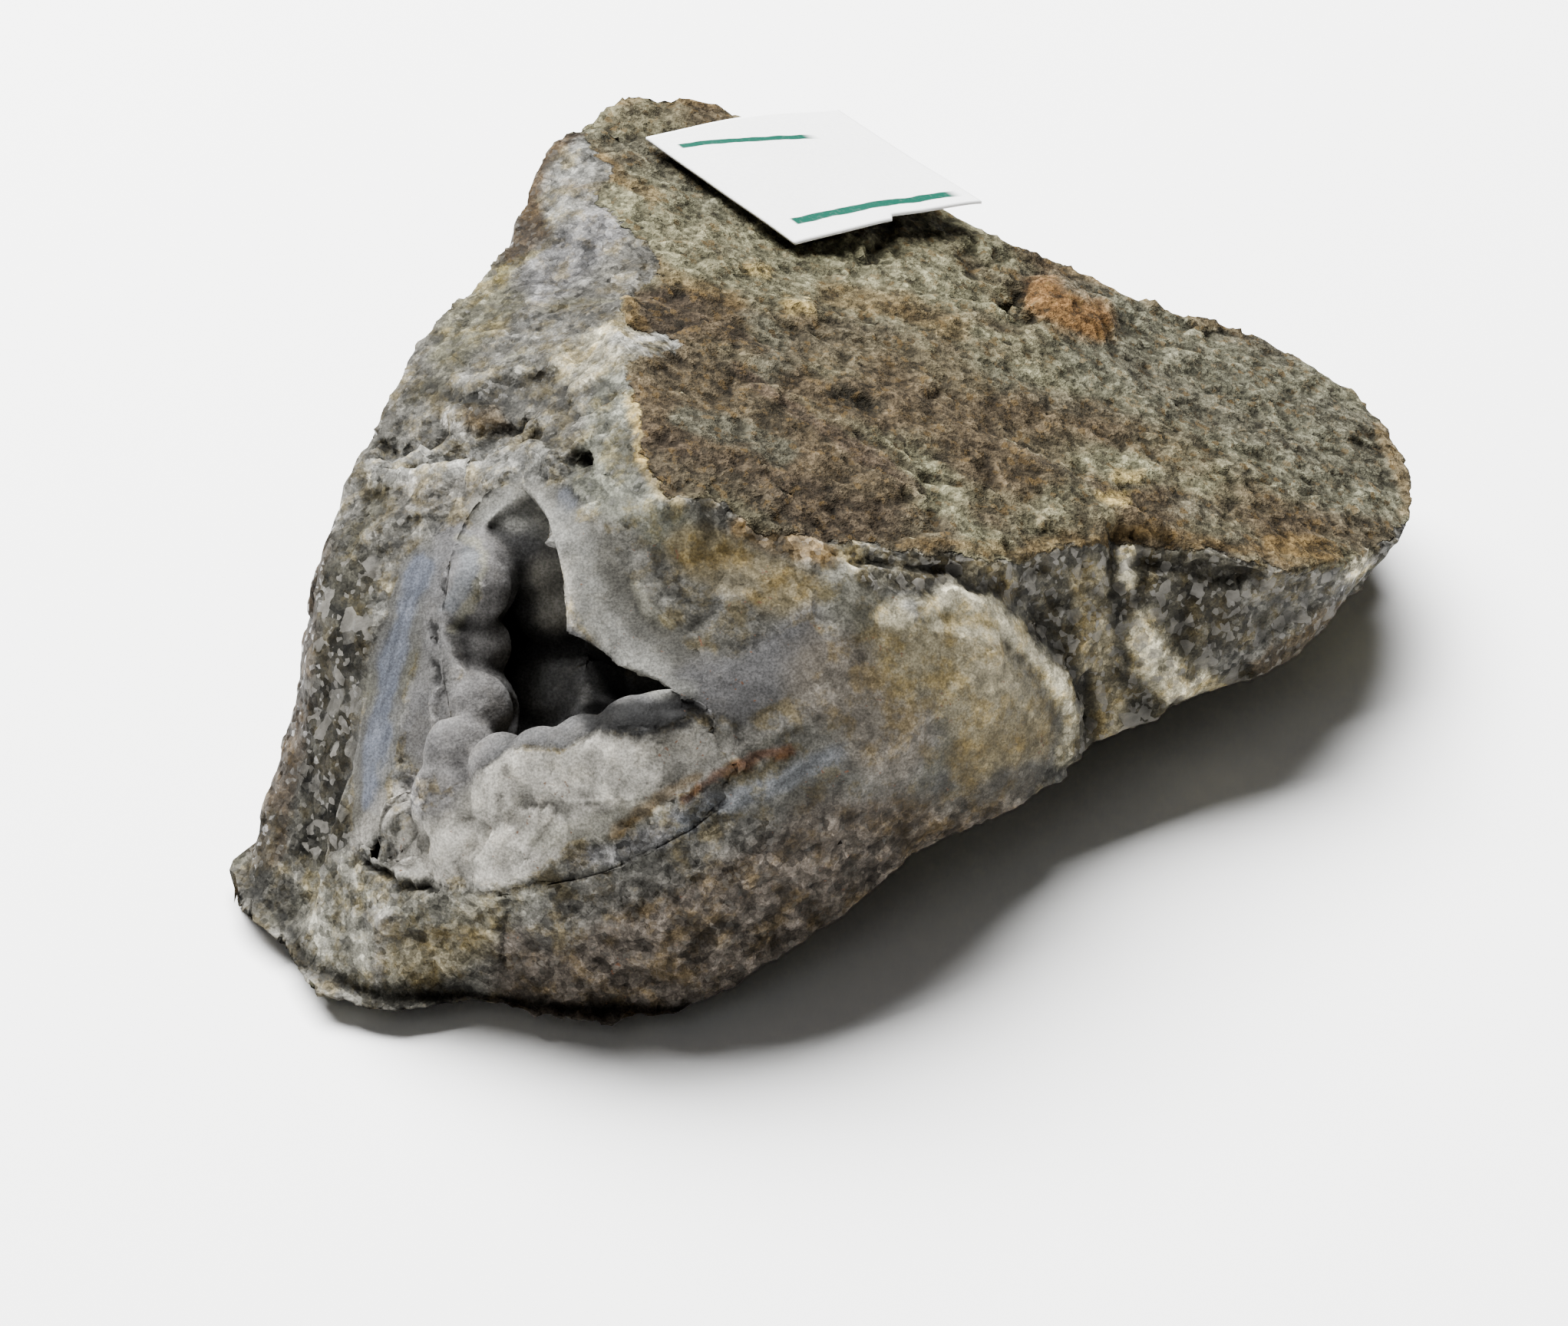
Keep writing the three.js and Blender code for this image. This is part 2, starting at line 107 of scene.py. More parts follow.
HOST_OUTLINE = [
    (1085, 706), (1155, 712), (1257, 728), (1315, 731), (1436, 706), (1461, 712), (1576, 719),
    (1633, 738), (1704, 744), (1748, 744), (1793, 719), (1860, 700), (1800, 860), (1640, 930),
    (1480, 990), (1390, 1020), (1408, 930), (1385, 880), (1350, 830), (1318, 785), (1257, 760),
    (1187, 766), (1140, 772), (1110, 745),
]
LOWER_OUTLINE = [
    (640, 1230), (720, 1175), (850, 1130), (960, 1080), (1080, 1040), (1180, 1030), (1240, 1060),
    (1330, 1040), (1360, 1080), (1130, 1250), (900, 1400), (640, 1380),
]
SMOOTH_OUTLINE = [
    (745, 700), (800, 640), (880, 660), (960, 700), (1090, 745), (1187, 770), (1257, 770), (1320, 795),
    (1380, 887), (1395, 960), (1330, 1040), (1130, 1060), (960, 1075), (905, 1010), (900, 930),
    (830, 890), (760, 830),
]
BLUE_LINE = [(552, 735), (528, 800), (510, 865), (497, 930), (486, 1000), (480, 1070)]

# Patches of colour on the vein: a colour, its half width in pixels, its strength and its line.
VEIN_PATCHES = {
    "olive upper left": ("olive", 36, 0.7, [(655, 370), (610, 420), (585, 450)]),
    "weathered left peak": ("host_dark", 22, 1.0, [(748, 166), (712, 205), (699, 240), (692, 300), (670, 330)]),
    "white upper streak": ("vein_white", 24, 0.8, [(768, 195), (738, 232), (728, 262)]),
    "ochre fleck at the streak": ("ochre", 7, 0.3, [(742, 238), (760, 246)]),
    "lavender upper": ("lavender", 36, 0.7, [(775, 300), (745, 335), (705, 360)]),
    "pale below the hump": ("vein_grey", 16, 0.5, [(845, 345), (800, 335), (790, 365)]),
    "green edge": ("moss", 9, 0.5, [(700, 328), (676, 342), (655, 358)]),
    "dark edge pit": ("shadow", 7, 0.8, [(640, 346), (655, 338)]),
    "dark edge spot": ("shadow", 5, 0.8, [(714, 300)]),
    "cream at the ridge": ("cream_white", 30, 0.5, [(812, 440), (785, 455), (745, 480)]),
    "white streak in the top": ("vein_white", 12, 0.9, [(878, 448), (840, 450), (806, 440)]),
    "grey green by the ridge": ("vein_green", 34, 0.75, [(805, 510), (792, 560), (775, 620)]),
    "pale ridge edge": ("cream", 9, 0.7, [(826, 520), (834, 570), (850, 620), (885, 655)]),
    "dark left": ("left_matrix", 20, 0.75, [(505, 508), (550, 505), (600, 520)]),
    "grey left edge": ("vein_grey", 16, 0.7, [(560, 440), (515, 500), (480, 570), (445, 635)]),
    "pink nodule": ("shelf", 13, 0.6, [(580, 545), (598, 550)]),
    "brown nodule": ("host_brown", 17, 0.85, [(612, 548), (640, 545), (655, 562)]),
    "grey middle": ("vein_grey", 28, 0.5, [(655, 500), (710, 500), (740, 545)]),
    # Painted shade in the recess above the lip.
    "recess above the lip": ("vein_dark", 9, 0.75, [(520, 580), (590, 584), (625, 584), (650, 565)]),
    "lip": ("vein_white", 24, 0.8, [(500, 610), (570, 606), (650, 600), (720, 612)]),
    "lip chips": ("vein_dark", 10, 0.7, [(640, 590), (662, 572), (690, 585)]),
    # Painted shade in the small pit above the hollow.
    "black spot": ("shadow", 8, 0.4, [(745, 597), (760, 598)]),
    "lavender under the lip": ("crystal", 22, 0.6, [(530, 645), (590, 650), (620, 640)]),
    "blue by the ceiling": ("blue", 10, 0.6, [(742, 640), (735, 672)]),
    # Painted light: the shaded ceiling of the hollow is lightened with the pale vein colour.
    "ceiling": ("vein_white", 28, 0.9, [(645, 668), (700, 665), (730, 690)]),
    # Painted light: the shaded lobes at the left of the hollow are lightened.
    "painted light on the left lobes": ("lobes_painted_light", 40, 0.95, [(622, 725), (628, 770), (632, 840), (622, 930), (590, 985), (560, 1030)]),
    "left of the lobes": ("lavender", 26, 0.7, [(590, 700), (575, 830), (560, 900), (548, 960)]),
    "pale chips": ("vein_white", 15, 0.6, [(482, 795), (498, 768)]),
    "blue haze": ("blue", 26, 0.2, [(552, 735), (528, 800), (510, 865), (497, 930), (490, 1030)]),
    "blue band": ("blue", 13, 0.95, [(552, 735), (528, 800), (510, 865), (497, 930), (486, 1000), (484, 1050)]),
    "second blue": ("blue_grey", 15, 0.9, [(614, 712), (608, 755), (588, 790)]),
    "cream line": ("cream_grey", 6, 0.9, [(598, 700), (624, 710), (633, 738), (624, 772), (602, 800), (588, 822)]),
    "pink crystals": ("crystal", 15, 0.75, [(522, 1035), (492, 1060), (464, 1095)]),
    "foot grey": ("vein_grey", 28, 0.5, [(330, 1150), (380, 1180), (400, 1240)]),
    "foot pale": ("cream_grey", 38, 0.8, [(425, 1180), (440, 1230), (500, 1270)]),
    "foot white vein": ("crystal", 9, 0.7, [(505, 1150), (500, 1210), (488, 1275)]),
    "foot ochre": ("knob", 34, 0.7, [(535, 1250), (590, 1235), (625, 1205)]),
    "below the shelf": ("cream_grey", 24, 0.5, [(445, 1130), (540, 1180), (640, 1190), (700, 1175)]),
    "lower grey": ("vein_dark", 40, 0.7, [(720, 1200), (800, 1150), (900, 1100), (990, 1060)]),
    "lower lavender": ("lavender", 16, 0.7, [(760, 1120), (850, 1090), (920, 1050)]),
    "diagonal blue": ("blue_grey", 15, 0.9, [(885, 1078), (960, 1042), (1030, 1010), (1090, 985)]),
    "upper diagonal blue": ("crystal", 15, 0.7, [(915, 1010), (960, 970), (1010, 940), (1080, 905)]),
    "smooth vein": ("lavender", 44, 0.75, [(905, 900), (960, 900), (1020, 860), (1060, 830)]),
    "pale rim of the mouth": ("vein_white", 22, 0.8, [(745, 700), (765, 790), (820, 850), (890, 905)]),
    "curved layer": ("vein_dark", 13, 0.5, [(792, 778), (818, 806), (850, 842), (872, 855)]),
    "pale inner curve": ("cream_grey", 9, 0.7, [(828, 765), (840, 795), (875, 812)]),
    "cream above the mouth": ("vein_green", 34, 0.8, [(790, 640), (830, 650), (880, 690)]),
    "olive stain": ("olive_ochre", 36, 0.85, [(905, 715), (960, 745), (1030, 765)]),
    "ochre by the brow": ("ochre", 17, 0.75, [(965, 690), (1015, 705), (1070, 722)]),
    "dark green flecks": ("matrix", 9, 0.6, [(940, 755), (985, 770)]),
    "grey right of the stain": ("cream_grey", 22, 0.5, [(1090, 760), (1085, 810)]),
    "vein middle": ("beige", 62, 0.75, [(1080, 880), (1140, 900), (1160, 960)]),
    "knob": ("knob", 66, 0.85, [(1200, 850), (1270, 870), (1300, 930)]),
    "knob ochre": ("olive_ochre", 30, 0.85, [(1260, 990), (1310, 970), (1350, 960)]),
    "shelf right end": ("vein_grey", 30, 0.6, [(870, 985), (930, 970)]),
    "shelf lower edge": ("cream_grey", 16, 0.6, [(700, 1100), (770, 1075), (850, 1045)]),
    # Painted shade: the lobes on the floor of the hollow, darkened where the rim shades them.
    "painted shade on the floor lobes": ("lobes_painted_shade", 27, 1.0, [(780, 935), (835, 938), (890, 928)]),
    "inner ledge": ("ledge_brown", 34, 0.9, [(690, 900), (750, 890)]),
    # Painted light: the shaded right wall inside the hollow is lightened with the shelf's white.
    "painted light on the right inner wall": ("shelf", 30, 0.9, [(712, 745), (725, 790)]),
    "knob lower brown": ("host_brown", 24, 0.3, [(1150, 1080), (1250, 1055), (1330, 1015)]),
    "rust streak": ("rust", 7, 0.6, [(890, 1042), (940, 1010), (985, 992), (1030, 980)]),
    "ochre below the shelf": ("ochre", 9, 0.7, [(800, 1080), (860, 1040), (905, 1010)]),
    "knob pale top": ("cream_white", 20, 0.8, [(1160, 800), (1210, 800), (1290, 815)]),
    "knob white rim": ("cream_white", 15, 0.8, [(1185, 795), (1240, 778), (1292, 792), (1335, 840), (1372, 885), (1396, 930), (1394, 985)]),
    "white crystals by the knob": ("vein_white", 12, 0.9, [(1185, 790), (1200, 800)]),
    "brown left rim": ("host_dark", 22, 0.95, [(412, 700), (405, 760), (402, 900), (385, 960), (362, 1040), (345, 1110)]),
    # The red-brown left rim where the light grazes it, darkened to the shade colour: partly its own colour and partly
    # painted shade.
    "red brown left rim in painted shade": ("shadow", 17, 0.95, [(352, 1070), (340, 1120)]),
}
HOST_PATCHES = {
    "grey by the knob": ("knob", 24, 0.5, [(1285, 735), (1300, 765), (1290, 790)]),
    "pale chip under the brow": ("cream_white", 14, 0.7, [(1462, 695), (1475, 725), (1470, 755)]),
    "pale lower patch": ("cream_white", 30, 0.85, [(1490, 830), (1520, 880), (1570, 900)]),
    "fibrous streak": ("knob", 22, 0.85, [(1415, 750), (1428, 830), (1440, 900), (1455, 970)]),
    "grey green lower": ("vein_dark", 25, 0.7, [(1600, 870), (1680, 830)]),
    "grey right": ("vein_dark", 26, 0.6, [(1640, 775), (1700, 765), (1750, 775)]),
    "brown lower edge": ("host_brown", 13, 0.8, [(1640, 870), (1700, 830), (1745, 790)]),
    "blue white by the stain": ("cream_white", 15, 0.5, [(1095, 735), (1120, 720)]),
    "white chip": ("cream_white", 11, 0.95, [(1765, 742), (1782, 728)]),
}
TOP_PATCHES = {
    "grey right end": ("host_grey", 85, 0.75, [(1450, 440), (1600, 500), (1720, 570), (1790, 630)]),
    "grey under the label": ("host_olive", 50, 0.8, [(830, 270), (900, 320), (1000, 350), (1200, 350)]),
    "peak": ("host_brown", 40, 0.4, [(830, 140), (960, 160)]),
    "ochre peak edge": ("ochre", 8, 0.4, [(770, 140), (850, 122), (930, 135)]),
    "brown left": ("host_brown", 74, 0.9, [(870, 500), (980, 560), (1120, 640)]),
    "dark brown left": ("host_dark", 36, 0.8, [(850, 590), (950, 620), (1080, 670), (1220, 700)]),
    "dark nodule": ("host_dark", 32, 0.95, [(850, 402), (890, 412)]),
    "ochre at the ridge": ("ochre", 10, 0.75, [(820, 392), (812, 415), (830, 425)]),
    "ochre ridge upper": ("ochre", 10, 0.6, [(790, 210), (815, 235), (850, 255)]),
    "ochre streak upper": ("ochre", 11, 0.5, [(850, 345), (900, 372), (960, 395)]),
    "ochre streak middle": ("ochre", 18, 0.5, [(1080, 380), (1180, 400), (1250, 430)]),
    "grey wedge": ("host_grey", 16, 0.7, [(890, 545), (960, 560), (1020, 590)]),
    "grey blotches": ("host_grey", 20, 0.5, [(1000, 480), (1060, 440), (1150, 430)]),
    "red brown streak": ("rust_dark", 11, 0.6, [(960, 480), (1080, 560), (1200, 640)]),
    "brown middle": ("host_brown", 36, 0.8, [(1150, 500), (1250, 560), (1330, 620)]),
    "dark lens": ("shadow", 20, 0.95, [(1095, 507), (1132, 526)]),
    "dark line": ("shadow", 5, 0.6, [(1120, 570), (1180, 600), (1240, 630)]),
    "ochre band": ("host_brown", 24, 0.5, [(1340, 520), (1440, 550), (1560, 600)]),
    "nodule": ("orange", 27, 0.9, [(1358, 385), (1385, 405), (1428, 420)]),
    # Painted shade on one side of the orange nodule.
    "nodule dark side": ("shadow", 11, 0.5, [(1318, 398), (1345, 415)]),
    "pale grain left": ("cream", 10, 0.6, [(982, 348), (1000, 352)]),
    "pale grain middle": ("cream", 11, 0.9, [(1032, 398), (1052, 402)]),
    "pale grains low": ("cream", 9, 0.6, [(1455, 620), (1480, 622)]),
    "pale grains lower": ("cream", 8, 0.85, [(1438, 648), (1462, 650)]),
    "ochre brow": ("ochre", 10, 0.5, [(1180, 705), (1320, 718), (1500, 695), (1620, 715), (1720, 730)]),
    # Painted shade under the overhanging brow.
    "painted shade under the brow left": ("shadow", 8, 0.5, [(1165, 705), (1245, 722)]),
    "painted shade under the brow right": ("shadow", 8, 0.3, [(1490, 705), (1570, 700)]),
    "brown right": ("host_brown", 26, 0.6, [(1600, 650), (1720, 690), (1800, 690)]),
    "ochre brow right": ("ochre", 13, 0.75, [(1655, 702), (1740, 722)]),
    "ochre tip": ("ochre", 12, 0.5, [(1800, 560), (1832, 620), (1832, 665)]),
    "white chip": ("cream_white", 10, 0.95, [(1765, 742), (1782, 726)]),
    "brown centre": ("host_brown", 46, 0.75, [(1060, 440), (1150, 460), (1260, 520), (1350, 600)]),
    "ochre far edge": ("ochre", 5, 0.35, [(1385, 342), (1530, 408), (1650, 436), (1740, 482), (1805, 540)]),
}

# Relief on the sides that the photograph shows: a height in millimetres, below the surface where
# it is negative, its half width in pixels and its line.
MARKS = {
    "recess above the lip": (-0.7, 15, [(505, 590), (545, 602), (585, 590), (628, 594), (655, 572), (690, 562)]),
    "lip": (0.55, 17, [(500, 625), (545, 632), (590, 618), (635, 618), (665, 598), (695, 590), (725, 612)]),
    "lip chip": (0.5, 12, [(640, 585), (662, 574)]),
    "black spot": (-0.15, 8, [(745, 597), (760, 598)]),
    "brown nodule": (0.5, 18, [(590, 548), (640, 550)]),
    "ledge above": (0.3, 14, [(600, 505), (680, 480), (740, 470)]),
    "second blue": (0.15, 14, [(612, 715), (606, 755)]),
    "specks": (-0.25, 4, [(562, 815), (569, 838)]),
    "lower specks": (-0.25, 4, [(566, 862), (571, 892)]),
    "small hole": (-1.2, 9, [(492, 1106), (510, 1112)]),
    "crack under the shelf": (-0.5, 6, [(478, 1125), (520, 1152), (560, 1157)]),
    "shelf border": (0.4, 11, [(600, 1160), (690, 1150), (765, 1122), (830, 1094), (905, 1056), (945, 1025), (958, 990), (948, 955)]),
    "shelf chip": (0.3, 14, [(600, 1128), (650, 1112), (690, 1105)]),
    "foot crack": (-0.3, 4, [(655, 1160), (658, 1210), (650, 1260)]),
    "curved step": (0.3, 16, [(835, 740), (850, 790), (895, 800)]),
    "rust groove": (-0.15, 7, [(890, 1040), (940, 1010), (985, 994), (1030, 982)]),
    "diagonal band": (0.2, 16, [(905, 1060), (990, 1010), (1060, 965)]),
    "knob rim": (0.3, 12, [(1180, 795), (1240, 776), (1292, 790), (1337, 840), (1375, 885), (1398, 930), (1396, 985)]),
    "behind the knob rim": (-0.35, 11, [(1345, 790), (1375, 835), (1408, 880), (1428, 940)]),
    "pale chip under the brow": (0.4, 14, [(1467, 722), (1475, 752)]),
    "pale lower patch": (0.45, 26, [(1490, 840), (1525, 885)]),
    "brow undercut left": (-0.6, 12, [(1110, 722), (1170, 728), (1240, 742)]),
    "brow undercut right": (-0.45, 12, [(1480, 735), (1560, 742), (1640, 758)]),
    "brow dent": (0.5, 17, [(1462, 678), (1500, 690)]),
    "dark lens": (-0.45, 15, [(1095, 507), (1132, 526)]),
    "dark line": (-0.25, 6, [(1120, 570), (1180, 600), (1240, 630)]),
    "orange nodule": (0.7, 26, [(1360, 385), (1388, 402), (1425, 418)]),
    "nodule dark side": (-0.5, 10, [(1318, 398), (1342, 414)]),
    "dark nodule": (-0.3, 24, [(850, 402), (885, 412)]),
    "pale grain left": (0.3, 9, [(982, 348), (1000, 352)]),
    "pale grain middle": (0.3, 10, [(1032, 398), (1052, 402)]),
    "pale grains low": (0.25, 8, [(1455, 620), (1480, 622)]),
}


# Rounded buds of chalcedony: where the photograph shows them, their radius, and how far they stand
# out of the surface behind them, in millimetres.
BUDS = [
    (690, 700, 3.0, 3.8), (662, 692, 2.2, 2.4), (712, 745, 2.4, 3.6), (724, 785, 2.2, 3.2),
    (622, 765, 1.7, 1.0), (618, 925, 1.9, 2.6), (600, 978, 1.8, 1.3), (655, 1000, 1.7, 0.9),
    (705, 992, 1.7, 1.1), (765, 985, 2.0, 1.2), (835, 968, 2.3, 1.6), (890, 955, 1.6, 1.1),
    (600, 1042, 2.4, 0.6), (672, 1032, 2.2, 0.5), (745, 1015, 2.4, 0.6), (825, 1000, 2.4, 0.55),
    (900, 978, 2.0, 0.5), (545, 1085, 2.0, 0.6), (615, 1108, 1.9, 0.35), (670, 1098, 1.2, 0.3),
    (735, 905, 3.4, 1.6), (628, 842, 1.5, 1.1),
]

# The small pit above the hollow: its middle and how far round it the surface is smoothed, in pixels.
PIT_MIDDLE = (756, 600)
PIT_REACH = 26

# Hollows that are cut into both pieces: the middle in the photograph's pixels, how far behind the
# middle of the specimen, the turn in degrees and the three radii, all lengths in millimetres.
CUTS = [
    ((777, 880), 2, -42, (2.9, 1.15, 10)),
    ((655, 932), 1.5, 0, (2.5, 1.7, 5.5)),
    ((735, 925), 1, 0, (2.0, 1.35, 6)),
    ((820, 930), 0, 8, (3.2, 1.2, 6)),
]


def points_of(mesh):
    """The places of a mesh's points, as an array."""
    places = np.empty(len(mesh.vertices) * 3)
    mesh.vertices.foreach_get("co", places)
    return places.reshape(-1, 3)


def normals_of(mesh):
    """The directions that a mesh's points face, as an array."""
    normals = np.empty(len(mesh.vertices) * 3, np.float32)
    mesh.vertex_normals.foreach_get("vector", normals)
    return normals.reshape(-1, 3).astype(float)


def smoothstep(low, high, values):
    """0 up to low, 1 from high, and a smooth rise between them."""
    share = np.clip((values - low) / (high - low), 0, 1)
    return share * share * (3 - 2 * share)


def photo_place(points):
    """Where the photograph shows each point: pixels across and pixels down."""
    offset = points - np.array(VIEW_EYE)
    depth = offset @ -np.array(VIEW_BACK)
    across = PHOTO_WIDTH / 2 + FOCAL_PIXELS * (offset @ np.array(VIEW_RIGHT)) / depth
    down = PHOTO_HEIGHT / 2 - FOCAL_PIXELS * (offset @ np.array(VIEW_UP)) / depth
    return np.column_stack([across, down])


def facing(points, normals):
    """The share of each point's normal that looks at the photograph's camera, -1 to 1."""
    to_eye = np.array(VIEW_EYE) - points
    to_eye /= np.linalg.norm(to_eye, axis=1)[:, None]
    return np.einsum("ij,ij->i", normals, to_eye)


def distance_to_line(places, line):
    """Pixels from each place to the nearest point of a line."""
    points = np.array(line, float)
    if len(points) == 1:
        return np.hypot(*(places - points[0]).T)
    nearest = np.full(len(places), np.inf)
    for start, end in zip(points, points[1:]):
        along = end - start
        share = np.clip((places - start) @ along / (along @ along), 0, 1)
        nearest = np.minimum(nearest, np.hypot(*(places - start - share[:, None] * along).T))
    return nearest


def depth_in(places, outline):
    """Pixels from each place to an outline, positive inside it and negative outside."""
    closed = outline + outline[:1]
    inside = np.zeros(len(places), bool)
    across, down = places.T
    for (x0, y0), (x1, y1) in zip(closed, closed[1:]):
        if y0 == y1:
            continue
        between = (y0 > down) != (y1 > down)
        inside ^= between & (across < x0 + (down - y0) / (y1 - y0) * (x1 - x0))
    return np.where(inside, 1, -1) * distance_to_line(places, closed)


def lumps(points, size, octaves=3, seed=0.0):
    """Noise of about -1 to 1, with its largest lumps of the given size."""
    shift = Vector((seed, seed * 1.7, -seed))
    values = [noise.fractal(Vector(p) / size + shift, 1.0, 2.0, octaves) for p in points]
    return np.array(values)


def crystal_faces(points, size, seed=0.0):
    """Heights of flat faces that each tilt their own way, as a share of their size."""
    heights = []
    for point in points:
        place = Vector(point) / size + Vector((seed, -seed, seed))
        centre = noise.voronoi(place)[1][0]
        tilt = noise.cell_vector(centre) * 2 - Vector((1, 1, 1))
        heights.append((place - centre).dot(tilt))
    return np.array(heights)


def ragged(places, points):
    """Places in the photograph, shifted here and there so that outlines on them are ragged."""
    wide = np.column_stack([lumps(points, 2.4 * MM, 2, 3.1), lumps(points, 2.4 * MM, 2, 9.4)])
    fine = np.column_stack([lumps(points, 0.7 * MM, 2, 5.2), lumps(points, 0.7 * MM, 2, 1.6)])
    return places + 8 * wide + 5 * fine


def new_piece(name, mesh):
    """An object with a mesh, at the origin."""
    piece = bpy.data.objects.new(name, mesh)
    bpy.context.scene.collection.objects.link(piece)
    return piece


def node_copy(node):
    """A bmesh of a CAD node, with its loose triangles merged."""
    bm = bmesh.new()
    bm.from_mesh(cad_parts[node].data)
    bmesh.ops.remove_doubles(bm, verts=bm.verts, dist=0.0001 * MM)
    return bm


def round_shallow_edges(bm, times, steepest):
    """Smooths a bmesh but for the points on its steep edges."""
    steep = {v for e in bm.edges if e.calc_face_angle(0) > steepest for v in e.verts}
    shallow = [v for v in bm.verts if v not in steep]
    for _ in range(times):
        bmesh.ops.smooth_vert(bm, verts=shallow, factor=0.5, use_axis_x=True, use_axis_y=True, use_axis_z=True)


def split_long_edges(bm, limit_at, rounds):
    """Halves the edges of a bmesh that are longer than the limit at their middle."""
    for _ in range(rounds):
        bm.normal_update()
        long = [e for e in bm.edges if e.calc_length() > limit_at(e)]
        if not long:
            return
        bmesh.ops.subdivide_edges(bm, edges=long, cuts=1, use_grid_fill=True)
        bmesh.ops.triangulate(bm, faces=[f for f in bm.faces if len(f.verts) > 3])


def soften_pit(bm):
    """Makes the small pit above the hollow shallow."""
    places = photo_place(np.array([v.co for v in bm.verts]))
    near = np.hypot(*(places - PIT_MIDDLE).T) < PIT_REACH
    pit = [v for v, inside in zip(bm.verts, near) if inside and v.normal.dot(VIEW_BACK) > -0.7]
    for _ in range(20):
        bmesh.ops.smooth_vert(bm, verts=pit, factor=0.5, use_axis_x=True, use_axis_y=True, use_axis_z=True)


def view_ray(across, down):
    """The direction from the photograph's camera through a pixel."""
    return (
        (across - PHOTO_WIDTH / 2) * VIEW_RIGHT - (down - PHOTO_HEIGHT / 2) * VIEW_UP - FOCAL_PIXELS * VIEW_BACK
    ).normalized()


def add_buds(bm):
    """Adds round buds to a bmesh where the photograph's rays meet it or the stone."""
    stone = cut_hollows(node_copy("stone"))
    trees = [BVHTree.FromBMesh(stone), BVHTree.FromBMesh(bm)]
    stone.free()
    for across, down, radius, rise in BUDS:
        ray = view_ray(across, down)
        hits = [tree.ray_cast(VIEW_EYE, ray) for tree in trees]
        reach = min(hit[3] for hit in hits if hit[0] is not None)
        middle = VIEW_EYE + (reach + (radius - rise) * MM) * ray
        bmesh.ops.create_icosphere(bm, subdivisions=3, radius=radius * MM, matrix=Matrix.Translation(middle))


def cut_hollows(bm):
    """Cuts the hollows out of a bmesh and returns the rest as a new one."""
    cutter_bm = bmesh.new()
    for (across, down), behind, turn, radii in CUTS:
        ray = view_ray(across, down)
        middle = VIEW_EYE + (VIEW_DISTANCE + behind * MM) * ray
        axes = Matrix((VIEW_RIGHT, VIEW_UP, VIEW_BACK)).transposed().to_4x4()
        place = Matrix.Translation(middle) @ axes @ Matrix.Rotation(math.radians(turn), 4, "Z")
        size = Matrix.Diagonal((*(radius * MM for radius in radii), 1))
        bmesh.ops.create_icosphere(cutter_bm, subdivisions=3, radius=1, matrix=place @ size)
    objects = []
    for source in (bm, cutter_bm):
        mesh = bpy.data.meshes.new("rough")
        source.to_mesh(mesh)
        source.free()
        objects.append(new_piece("rough", mesh))
    whole, cutter = objects
    cut = whole.modifiers.new("hollows", "BOOLEAN")
    cut.operation = "DIFFERENCE"
    cut.use_self = True
    cut.object = cutter
    graph = bpy.context.evaluated_depsgraph_get()
    rest = bmesh.new()
    rest.from_mesh(whole.evaluated_get(graph).data)
    for piece in objects:
        bpy.data.meshes.remove(piece.data)
    bmesh.ops.triangulate(rest, faces=rest.faces)
    bmesh.ops.remove_doubles(rest, verts=rest.verts, dist=0.001 * MM)
    return rest


def stone_edge_limit(settings):
    """The longest edge at a place of the stone: short where the photograph shows it."""
    def limit_at(edge):
        middle = (edge.verts[0].co + edge.verts[1].co) / 2
        normal = (edge.verts[0].normal + edge.verts[1].normal) / 2
        if normal.dot((VIEW_EYE - middle).normalized()) < -0.1:
            return settings.hidden_edge
        near_hollow = (middle - HOLLOW_MIDDLE).length < HOLLOW_REACH
        return settings.hollow_edge if near_hollow else settings.seen_edge
    return limit_at


def even_mesh(name, bm, voxel):
    """A mesh of even small squares over a bmesh, by Blender's voxel remesh."""
    rough = bpy.data.meshes.new(name + "_rough")
    bm.to_mesh(rough)
    bm.free()
    carrier = new_piece(name + "_rough", rough)
    remesh = carrier.modifiers.new("even squares", "REMESH")
    remesh.mode = "VOXEL"
    remesh.voxel_size = voxel
    graph = bpy.context.evaluated_depsgraph_get()
    mesh = bpy.data.meshes.new_from_object(carrier.evaluated_get(graph))
    mesh.name = name
    bpy.data.objects.remove(carrier)
    bpy.data.meshes.remove(rough)
    return mesh


CRUST_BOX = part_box("chalcedony_crust")
HOLLOW_MIDDLE = (CRUST_BOX[0] + CRUST_BOX[1]) / 2
HOLLOW_REACH = 13 * MM


